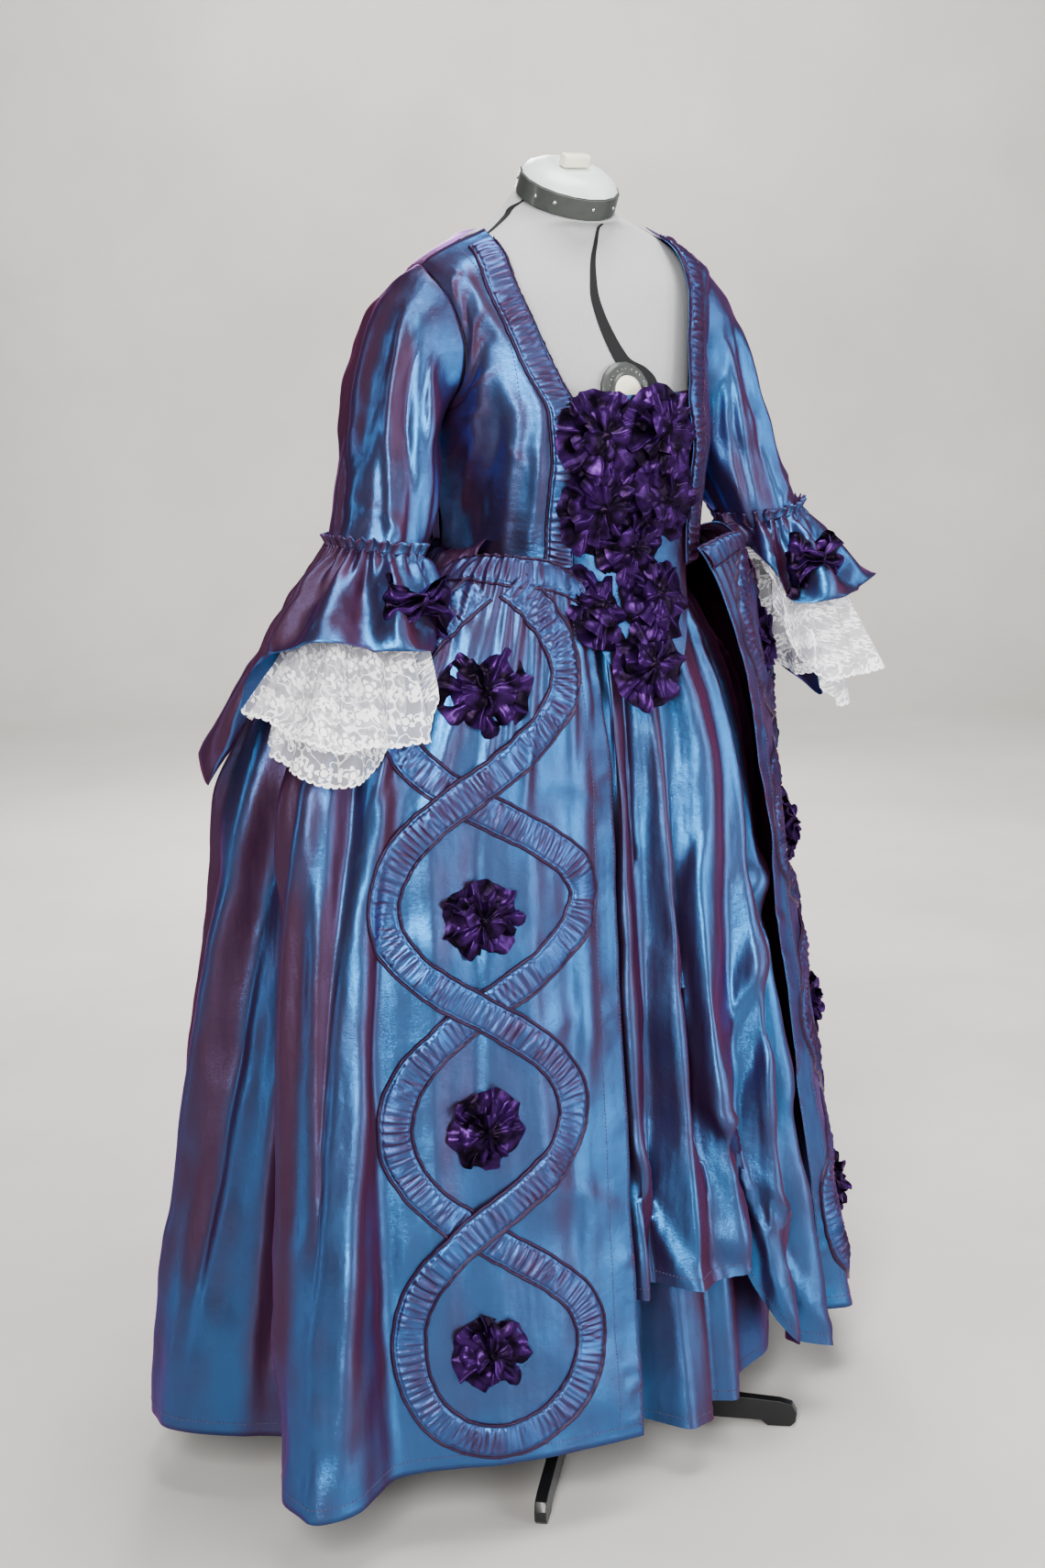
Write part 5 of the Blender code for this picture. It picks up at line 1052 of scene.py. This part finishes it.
def ruched_strip(name, node, start, corners, width, cloth, seed, hop=None, tucked=0.0):
    """A gathered strip with corded edges in place of a node, laid on a cloth; its ends run on by tucked."""
    middle, across, out = strip_line(node, start, corners)
    if tucked:
        for _ in range(2):
            middle, across, out = (rows[::-1].copy() for rows in run_on(middle, across, out, tucked))
    keys = run_along(middle)
    count = int(keys[-1] / STRIP_STEP)
    places = np.linspace(0, keys[-1], count)
    middle, across, out = (at_keys(rows, keys, places) for rows in (middle, across, out))
    across /= np.linalg.norm(across, axis=1, keepdims=True)
    out /= np.linalg.norm(out, axis=1, keepdims=True)
    height = ruche_heights(np.array(STRIP_COLUMNS)[None, :], places, seed)
    if hop is not None:
        height = height + hop(places / places[-1], middle[:, 2])[:, None]
    wobble = 1 + 0.030 * wander(places, seed + 4, 0.03)
    wide = len(STRIP_COLUMNS)
    tree = cloth.tree()
    points = []
    for k in range(count):
        way = Vector(out[k])
        feet = [None] * wide
        for column in sorted(range(wide), key=lambda column: abs(STRIP_COLUMNS[column])):
            spot = Vector(middle[k] + across[k] * STRIP_COLUMNS[column] * wobble[k] * width / 2)
            hit = tree.ray_cast(spot + way * 0.022, -way, 0.05)
            inside = column + (1 if STRIP_COLUMNS[column] < 0 else -1)
            past_edge = spot if STRIP_COLUMNS[column] == 0 else feet[inside]
            feet[column] = past_edge if hit[0] is None else hit[0]
        points += [foot + way * height[k, column] for column, foot in enumerate(feet)]
    turned = Vector(np.cross(middle[1] - middle[0], across[0])).dot(Vector(out[0])) < 0
    faces = []
    for k in range(count - 1):
        for a in range(k * wide, k * wide + wide - 1):
            face = (a, a + wide, a + wide + 1, a + 1)
            faces.append(face[::-1] if turned else face)
    made = shape_of(name, points, faces, ruched_taffeta, corded_edge)
    edge = [int(abs(STRIP_COLUMNS[c] + STRIP_COLUMNS[c + 1]) / 2 >= CORD_SHARE) for c in range(wide - 1)]
    made.data.polygons.foreach_set("material_index", edge * (count - 1))
    # Painted shade: plum and darker on the steep sides of each gather.
    slope = np.abs(np.gradient(height, places, axis=0))
    set_shares(made.data, "painted_shade", np.clip(slope * 0.95 - 0.06, 0, 1))
    put_on(made, node)


def crossing_hop(share, height):
    """The strand that comes down lies over the one that goes up."""
    lift = sum(np.exp(-((height - crossing) / CROSSING_RUN) ** 2) for crossing in CROSSING_HEIGHTS)
    return CROSSING_HOP * lift * (share < 0.5)


STRIPS = (
    # side, seed, then the end of the ribbon, of the waist band and of the robing that is made first
    ("right", 100, (-0.165, -0.262, 1.046), (-0.092, -0.252, 1.055), (-0.104, -0.236, 1.075)),
    ("left", 200, (0.152, -0.245, 1.046), (0.080, -0.252, 1.075), (0.091, -0.236, 1.075)),
)
for side, seed, ribbon_end, band_end, robing_end in STRIPS:
    panel, under = panels[side], f"overskirt_{side}"
    ruched_strip(f"ribbon_{side}", f"serpentine_{side}", ribbon_end, 5, RIBBON_WIDTH, panel, seed,
                 crossing_hop, RIBBON_TUCKED)
    ruched_strip(f"waist_ruching_{side}", f"waist_band_{side}", band_end, 4, BAND_WIDTH, panel,
                 seed + 10)
    ruched_strip(f"robing_{side}_ruched", f"robing_{side}", robing_end, 4, ROBING_WIDTH, bodices[side],
                 seed + 20)


# ---------------------------------------------------------------- stomacher
# A stiffened plate of plain taffeta with a rounded tab, pinned in behind both bodice edges.
plate = Cloth(wall_rows("stomacher", (-0.105, -0.217, 1.267), 11), 60, 50)
plate.piece("stomacher_plate", "stomacher", fitted_taffeta, wall=0, held="laid", rests_on=["form_torso"])


# ---------------------------------------------------------------- rosettes
# Each is three gathered frills of dark purple and black shot silk, the smallest on top, sewn down through a
# knot in the middle. The black comes partly from random patches of tone and partly from painted shade in the
# frills' valleys and towards their inner edges. Eight cover the stomacher, four lie in the loops of each
# ribbon.
FRILLS = (
    # inner and outer radius as shares, heights there in metres, ripple, pleats
    (0.28, 1.04, 0.0085, 0.0065, 0.0052, 7),
    (0.16, 0.80, 0.0125, 0.0130, 0.0060, 6),
    (0.05, 0.54, 0.0165, 0.0195, 0.0056, 4),
)
FRILL_AROUND = 110
FRILL_STEPS = 7
ROUGH_SEED = 7                              # vector noise would start from the clock without one
KNOT_RINGS = (0.17, 0.16, 0.13, 0.07, 0.01) # radius as shares
KNOT_AROUND = 10
ROSETTES = (
    # group, how many, the piece under them, radius as a share of the disc's
    ("front", 8, "stomacher_plate", 1.12),
    ("right", 4, "overskirt_right", 0.88),
    ("left", 4, "overskirt_left", 0.88),
)

rosette_silk = Finish("rosette_silk", (0.09, 0.03, 0.24), 0.34, metallic=0.60, specular_tint=(0.6, 0.3, 0.7),
                      sheen_weight=0.25, sheen_roughness=0.35, sheen_tint=(0.35, 0.15, 0.6))
# Painted shade from the attribute, with random patches of tone, blends the purple towards near-black.
shade = rosette_silk.node("Attribute", {"attribute_name": "painted_shade"}, {}, "Fac")
patch = rosette_silk.cloud(rosette_silk.place(), 46.0, 2.0)
dark = (shade * 0.9 + (patch - 0.44) * 4.2).least(1.0).most(0.0)
rosette_silk.feed("Base Color", rosette_silk.blend(dark, (0.046, 0.016, 0.094), (0.005, 0.004, 0.008)))
rosette_silk.feed("Roughness", 0.27 + 0.14 * patch)
rosette_silk.relief(rosette_silk.cloud(rosette_silk.place(), 160.0, 2.0), 0.0007, 0.6)
noise.seed_set(ROUGH_SEED)


def way_round(right, up, turn):
    """The way out from a middle at a turn."""
    return right * math.cos(turn) + up * math.sin(turn)


def disc_of(node):
    """The points of a flat round node, and the way through it, to one side or the other."""
    points = np.array([corner.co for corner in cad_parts[node].data.vertices])
    _, _, axes = np.linalg.svd(points - points.mean(axis=0), full_matrices=False)
    return points, Vector(axes[2])


def rosette(name, node, seed, spread):
    """A rosette of frills in place of a node's puffed disc."""
    disc, out = disc_of(node)
    middle = (disc.max(axis=0) + disc.min(axis=0)) / 2
    if out.dot(Vector((*(middle[:2] - FORM_AXIS), 0))) < 0:
        out.negate()
    reach = (disc - middle) @ np.array(out)
    foot = Vector(middle) + out * float(reach.min())
    right = Vector((0, 0, 1)).cross(out).normalized()
    up = out.cross(right)
    radius = float(np.linalg.norm((disc - middle) - reach[:, None] * np.array(out), axis=1).max()) * spread
    dice = random.Random(seed)
    points, faces, painted_shade = [], [], []

    for inner, outer, low, high, ripple, pleats in FRILLS:
        base = len(points)
        phases = [dice.uniform(0, 6.28) for _ in range(5)]
        for k in range(FRILL_AROUND):
            angle = 2 * math.pi * k / FRILL_AROUND
            fold = pleats * angle + phases[0] + 0.8 * math.sin(2 * angle + phases[1])
            fold += 0.5 * math.sin(3 * angle + phases[2])
            swing = angle + 0.62 / pleats * math.sin(fold + 1.1)
            for j in range(FRILL_STEPS):
                share = j / (FRILL_STEPS - 1)
                rim = outer * (1 + 0.035 * math.sin(fold + 0.6) + 0.05 * math.sin(2 * angle + phases[3]))
                run = radius * (inner + (rim - inner) * share ** 0.85)
                wave = math.sin(fold) + 0.26 * math.sin(2.6 * fold + phases[4] + 2 * share)
                height = low + (high - low) * share + ripple * wave * share ** 0.7 - 0.0040 * share ** 4
                twist = angle + (swing - angle) * share
                spot = foot + way_round(right, up, twist) * run + out * height
                rough = noise.noise_vector(spot / 0.0165 + Vector((seed, base, 0)))
                spot += rough * 0.0064 * share ** 0.5 * (1.2 - 0.5 * share)
                spot += out * max(0.0012 - (spot - foot).dot(out), 0)
                points.append(spot)
                # Painted shade: dark in the valleys of each frill's waves and towards its inner edge.
                painted_shade.append(min(max(0.55 - 0.5 * wave, 0), 1) * (0.45 + 0.55 * (1 - share)))
        for k in range(FRILL_AROUND):
            for j in range(FRILL_STEPS - 1):
                a, b = (base + n % FRILL_AROUND * FRILL_STEPS + j for n in (k, k + 1))
                faces.append((a, a + 1, b + 1, b))
    base = len(points)
    for j, share in enumerate(KNOT_RINGS):
        for k in range(KNOT_AROUND):
            angle = 2 * math.pi * k / KNOT_AROUND + 0.5 * j
            run = radius * share * (1 + 0.25 * math.sin(3 * angle + seed))
            points.append(foot + way_round(right, up, angle) * run + out * (0.013 + 0.0022 * j))
            # The knot gets a fixed dark share.
            painted_shade.append(0.8)
    for j in range(len(KNOT_RINGS) - 1):
        for k in range(KNOT_AROUND):
            a, b = (base + j * KNOT_AROUND + n % KNOT_AROUND for n in (k, k + 1))
            faces.append((a, b, b + KNOT_AROUND, a + KNOT_AROUND))
    made = shape_of(name, points, faces, rosette_silk)
    set_shares(made.data, "painted_shade", painted_shade)
    put_on(made, node)


for group, count, under, spread in ROSETTES:
    for number in range(1, count + 1):
        node = f"rosette_{group}_{number}"
        rosette(f"{node}_frilled", node, 10 * number + len(group), spread)


# ---------------------------------------------------------------- sleeve bows
# A bow of the rosette silk at the front of each elbow: two gathered loops, two short ends, one knot.
BOW_WIDER, BOW_TALLER = 1.22, 1.3           # the bow's loops reach past the node's box


def bow(name, node, seed):
    """Two pleated loops, a knot and two tails, in place of a node."""
    low, high = (np.array(corner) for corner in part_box(node))
    middle = Vector((low + high) / 2)
    half_wide, half_tall = float(high[0] - low[0]) / 2 * BOW_WIDER, float(high[2] - low[2]) / 2 * BOW_TALLER
    back, thick = float(high[1]), float(low[1]) - float(high[1])
    dice = random.Random(seed)
    points, faces, painted_shade = [], [], []

    def sheet(rows, wide, place):
        base = len(points)
        for r in range(rows):
            for c in range(wide):
                # The fourth value that a place gives is painted shade, darker in the valleys of the pleats.
                x, y, z, shade = place(r / (rows - 1), c / (wide - 1))
                spot = Vector((middle.x + x, y, middle.z + z))
                points.append(spot + noise.noise_vector(spot / 0.016 + Vector((seed, 0, 0))) * 0.0075)
                painted_shade.append(shade)
        for r in range(rows - 1):
            for a in range(base + r * wide, base + r * wide + wide - 1):
                faces.append((a, a + 1, a + wide + 1, a + wide))

    def loop(run, across):
        turn = run * math.pi
        reach = math.sin(turn) ** 0.7 if run < 1 else 0.0
        spread = 0.25 + 0.75 * math.sin(min(turn, math.pi - turn)) ** 0.8
        tilt = across * 2 - 1
        pleat = math.sin(tilt * 8 + start + 2.0 * run)
        depth = 0.5 + 0.42 * math.cos(turn) + 0.16 * pleat * (1 - 0.4 * reach)
        x = end * (0.10 + 0.90 * reach * (1 - 0.16 * tilt * tilt + 0.05 * pleat)) * half_wide
        z = tilt * spread * half_tall * 0.92 + end * -0.05 * half_tall
        return x, back + thick * min(max(depth, 0.05), 1.12), z, 0.5 - 0.5 * pleat

    def tail(run, across):
        tilt = across * 2 - 1
        pleat = math.sin(tilt * 5 + start)
        x = end * (0.06 + 0.62 * run) * half_wide + tilt * (0.10 + 0.22 * run) * half_wide
        z = -0.10 * half_tall - (0.95 * run + 0.10 * tilt * end) * half_tall * 1.05
        return x, back + thick * (0.32 + 0.14 * pleat + 0.10 * run), z, 0.5 - 0.5 * pleat

    def knot(run, across):
        turn, angle = run * math.pi, across * 2 * math.pi
        x = 0.17 * half_wide * math.sin(turn) * math.cos(angle) * (1 + 0.14 * math.sin(3 * angle + 1))
        y = back + thick * (0.5 + 0.28 + 0.36 * math.sin(turn) * math.sin(angle))
        return x, y, 0.30 * half_tall * -math.cos(turn), 0.35

    for end in (-1, 1):
        start = dice.uniform(0, 6)
        sheet(22, 26, loop)
        sheet(12, 14, tail)
    sheet(12, 18, knot)
    made = shape_of(name, points, faces, rosette_silk)
    set_shares(made.data, "painted_shade", painted_shade)
    put_on(made, node)


for side, seed in (("right", 5), ("left", 9)):
    bow(f"sleeve_bow_{side}", f"bow_{side}", seed)


# ---------------------------------------------------------------- stitches and rivets
# One node group sets a small rounded shape on each point: its top along the attribute way, its length
# along the attribute along. It makes the machine stitching of the gown and the rivets of the collar.
STITCH = (0.0036, 0.0017, 0.0011)
STITCH_PITCH = 0.0046
STITCH_LIFT = 0.0002

thread = Finish("sewing_thread", (0.055, 0.035, 0.10), 0.55, sheen_weight=0.2)
twist = thread.cloud(thread.place(), 300.0, 1.0)
thread.feed("Base Color", thread.blend(twist, (0.04, 0.02, 0.07), (0.10, 0.08, 0.18)))


def repeats():
    """The node group, with its inputs by name."""
    group = bpy.data.node_groups.new("sown_repeats", "GeometryNodeTree")
    for title, kind in (("Points", "Geometry"), ("Size", "Vector"), ("Uneven", "Float"), ("Segments", "Int"),
                        ("Finish", "Material")):
        group.interface.new_socket(title, in_out="INPUT", socket_type=f"NodeSocket{kind}")
    group.interface.new_socket("Shapes", in_out="OUTPUT", socket_type="NodeSocketGeometry")

    def node(kind, settings, values):
        made = group.nodes.new(kind)
        for title, value in settings.items():
            setattr(made, title, value)
        for title, value in values.items():
            if isinstance(value, bpy.types.NodeSocket):
                group.links.new(value, made.inputs[title])
            else:
                made.inputs[title].default_value = value
        return made.outputs

    given = node("NodeGroupInput", {}, {})
    ball = node("GeometryNodeMeshUVSphere", {}, {"Segments": given["Segments"], "Rings": 3, "Radius": 0.5})
    ways = [node("GeometryNodeInputNamedAttribute", {"data_type": "FLOAT_VECTOR"}, {"Name": title})
            for title in ("way", "along")]
    up = node("FunctionNodeAlignRotationToVector", {"axis": "Z"}, {"Vector": ways[0]["Attribute"]})
    turn = node("FunctionNodeAlignRotationToVector", {"axis": "X", "pivot_axis": "Z"},
                {"Rotation": up[0], "Vector": ways[1]["Attribute"]})
    low, high = (node("ShaderNodeMath", {"operation": operation}, {0: 1.0, 1: given["Uneven"]})
                 for operation in ("SUBTRACT", "ADD"))
    share = node("FunctionNodeRandomValue", {"data_type": "FLOAT"}, {2: low[0], 3: high[0], "Seed": 4})
    size = node("ShaderNodeVectorMath", {"operation": "SCALE"}, {0: given["Size"], "Scale": share[1]})
    set_on = node("GeometryNodeInstanceOnPoints", {}, {"Points": given["Points"], "Instance": ball["Mesh"],
                                                       "Rotation": turn[0], "Scale": size[0]})
    real = node("GeometryNodeRealizeInstances", {}, {"Geometry": set_on[0]})
    smooth = node("GeometryNodeSetShadeSmooth", {}, {"Geometry": real[0]})
    painted = node("GeometryNodeSetMaterial", {}, {"Geometry": smooth[0], "Material": given["Finish"]})
    node("NodeGroupOutput", {}, {"Shapes": painted[0]})
    return group


sown_repeats = repeats()


def sown(name, spots, ways, alongs, size, finish, uneven=0.1, segments=4):
    """Shapes of a size on spots, made real and joined to one piece."""
    made = shape_of(name, [tuple(spot) for spot in spots], [])
    points = made.data
    for title, values in (("way", ways), ("along", alongs)):
        layer = points.attributes.new(title, "FLOAT_VECTOR", "POINT")
        layer.data.foreach_set("vector", np.array(values, dtype=np.float32).reshape(-1))
    repeat = made.modifiers.new("repeats", "NODES")
    repeat.node_group = sown_repeats
    given = {"Size": size, "Uneven": uneven, "Segments": segments, "Finish": finish.made}
    for socket in sown_repeats.interface.items_tree:
        if socket.in_out == "INPUT" and socket.name in given:
            repeat[socket.identifier] = given[socket.name]
    real = baked(made)
    made.modifiers.remove(repeat)
    made.data = real
    bpy.data.meshes.remove(points)
    put_on(made)


def stitch(name, *lines):
    """Stitches along lines of points with their outward ways."""
    spots, ways, alongs = [], [], []
    for points, normals in lines:
        keys = run_along(points)
        places = np.arange(STITCH_PITCH / 2, keys[-1], STITCH_PITCH)
        spot, way = (np.stack([np.interp(places, keys, rows[:, k]) for k in range(3)], axis=1)
                     for rows in (points, normals))
        spots.append(spot + way * STITCH_LIFT)
        ways.append(way)
        alongs.append(np.gradient(spot, axis=0))
    sown(name, np.concatenate(spots), np.concatenate(ways), np.concatenate(alongs), STITCH, thread)


for side, panel in panels.items():
    stitch(f"facing_stitches_{side}", panel.beside_edge(0.031, 0.03, 0.985),
           panel.beside_edge(0.003, 0.03, 0.99))
    stitch(f"hem_stitches_{side}", panel.above_hem(0.016))
    stitch(f"dart_stitches_{side}", bodices[side].across_at(0.40, 0.98, 0.36, 0.42))
    stitch(f"heading_stitches_{side}", cuffs[side].across_at(0.0, 0.015, 0.999, 0.015))
stitch("petticoat_hem_stitches", petticoat.above_hem(0.014))
stitch("underskirt_hem_stitches", underskirt.above_hem(0.012))


# ---------------------------------------------------------------- dress form: fittings
# A pale cap with a cream turning knob closes the neck inside a riveted grey band. The size dial on the
# chest has a grey ring with fine marks and a cream face. The stand is black.
RIVET_TURNS = (-158, -128, -76, -52, -4, 34, 62, 118, 150)      # degrees round the collar from the front
RIVET = (0.0052, 0.0052, 0.0022)
DIAL_PROFILE = (
    # radius, height over the ring
    (0.0004, 0.0016), (0.0100, 0.0016), (0.0172, 0.0014), (0.0180, 0.0008),
    (0.0186, 0.0002), (0.0196, 0.0012), (0.0206, 0.0012), (0.0212, 0.0001),
)
DIAL_AROUND = 48
DIAL_GREY_FROM = 4                          # place in the profile where the grey rim begins
DIAL_MARKS = 24
DIAL_MARKS_RADIUS = 0.0262
DIAL_MARK = (0.0021, 0.0008, 0.0004)


def plastic(name, colour, roughness, size, dark, light, grain=0.0, **coat):
    """A coloured plastic that drifts between two shades, with a slight grain in metres."""
    made = Finish(name, colour, roughness, **coat)
    haze = made.cloud(made.place(), size, 3.0)
    made.feed("Base Color", made.blend(haze, dark, light))
    if grain:
        made.relief(haze, grain, 0.3)
    return made


cap_plastic = plastic("cap_plastic", (0.66, 0.74, 0.70), 0.36, 60.0, (0.62, 0.71, 0.67),
                      (0.70, 0.77, 0.74), 0.0002, coat_weight=0.25, coat_roughness=0.2)
knob_plastic = plastic("knob_plastic", (0.80, 0.76, 0.62), 0.35, 90.0, (0.76, 0.71, 0.56), (0.84, 0.80, 0.68),
                       coat_weight=0.2)
collar_plastic = plastic("collar_plastic", (0.10, 0.11, 0.10), 0.42, 120.0, (0.046, 0.051, 0.048),
                         (0.072, 0.077, 0.072), 0.0002, coat_weight=0.15)
rivet_steel = Finish("rivet_steel", (0.75, 0.75, 0.74), 0.22, metallic=1.0)
rivet_steel.feed("Roughness", 0.16 + 0.2 * rivet_steel.cloud(rivet_steel.place(), 400.0, 2.0))
stand_paint = Finish("stand_paint", (0.014, 0.014, 0.015), 0.38, coat_weight=0.2)
haze = stand_paint.cloud(stand_paint.place(), 150.0, 4.0)
stand_paint.feed("Roughness", 0.30 + 0.22 * haze)
stand_paint.relief(haze, 0.0003, 0.35)
white_mark = Finish("white_mark", (0.80, 0.80, 0.78), 0.5)
white_mark.feed("Roughness", 0.4 + 0.2 * white_mark.cloud(white_mark.place(), 200.0))


def join_flat(shell, furthest):
    """Faces become one where they lie in one plane, within an angle in radians."""
    bmesh.ops.dissolve_limit(shell, angle_limit=furthest, verts=shell.verts, edges=shell.edges)


def eased(name, node, finish, wide=0.0006):
    """A node's shape with its edges rounded off and its round sides smooth."""
    made = copy_of(name, node, finish, join_flat, math.radians(1))
    made.data.set_sharp_from_angle(angle=math.radians(48))
    edges = made.modifiers.new("edges", "BEVEL")
    edges.width = wide
    edges.segments = 2
    edges.limit_method = "ANGLE"
    edges.angle_limit = math.radians(32)
    edges.harden_normals = True
    put_on(made, node)
    return made


eased("form_neck_cap", "form_cap", cap_plastic)
eased("form_turning_knob", "form_knob", knob_plastic)
collar = eased("form_collar", "form_band", collar_plastic)
eased("form_size_dial", "form_dial", collar_plastic)
for node in ("stand_pole", "stand_hub", "stand_leg_1", "stand_leg_2", "stand_leg_3", "stand_leg_4"):
    eased(f"{node}_painted", node, stand_paint, 0.0012)

low, high = (np.array(corner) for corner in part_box("form_band"))
collar_tree = tree_of(collar)
spots, ways = [], []
for turn in np.radians(RIVET_TURNS):
    way = Vector((math.sin(turn), -math.cos(turn), 0))
    hits = [collar_tree.ray_cast(Vector((*(low + high)[:2] / 2, z)) + way * 0.2, -way, 0.2)
            for z in np.linspace(low[2], high[2], 60)]
    upright = [hit for hit in hits if hit[0] is not None and hit[1].dot(way) > 0.6]
    if upright:
        spots.append(upright[len(upright) // 2][0])
        ways.append(upright[len(upright) // 2][1])
sown("collar_rivets", spots, ways, [(0, 0, 1)] * len(spots), RIVET, rivet_steel, 0.02, 12)

disc, dial_out = disc_of("form_dial")
if dial_out.y > 0:
    dial_out.negate()
middle = disc.mean(axis=0)
dial_middle = Vector(middle) + dial_out * float(((disc - middle) @ np.array(dial_out)).max())
dial_right = dial_out.cross(Vector((0, 0, 1))).normalized()
dial_up = dial_right.cross(dial_out)
ways = [way_round(dial_right, dial_up, k / DIAL_AROUND * 2 * math.pi) for k in range(DIAL_AROUND)]
points = [dial_middle + way * radius + dial_out * height for radius, height in DIAL_PROFILE for way in ways]
faces = [(j + k, j + (k + 1) % DIAL_AROUND, j + DIAL_AROUND + (k + 1) % DIAL_AROUND, j + DIAL_AROUND + k)
         for j in range(0, len(points) - DIAL_AROUND, DIAL_AROUND) for k in range(DIAL_AROUND)]
grey = [int(k >= DIAL_GREY_FROM * DIAL_AROUND) for k in range(len(faces))]
faces.append(tuple(range(DIAL_AROUND))[::-1])
dial_face = shape_of("dial_face", points, faces, knob_plastic, collar_plastic)
dial_face.data.polygons.foreach_set("material_index", grey + [0])
put_on(dial_face)
turns = [math.radians(15 * k + (4 if k % 3 else 0)) for k in range(DIAL_MARKS)]
alongs = [way_round(dial_right, dial_up, turn) for turn in turns]
spots = [dial_middle + along * DIAL_MARKS_RADIUS + dial_out * 0.0001 for along in alongs]
sown("dial_marks", spots, [dial_out] * DIAL_MARKS, alongs, DIAL_MARK, white_mark, 0.35, 5)
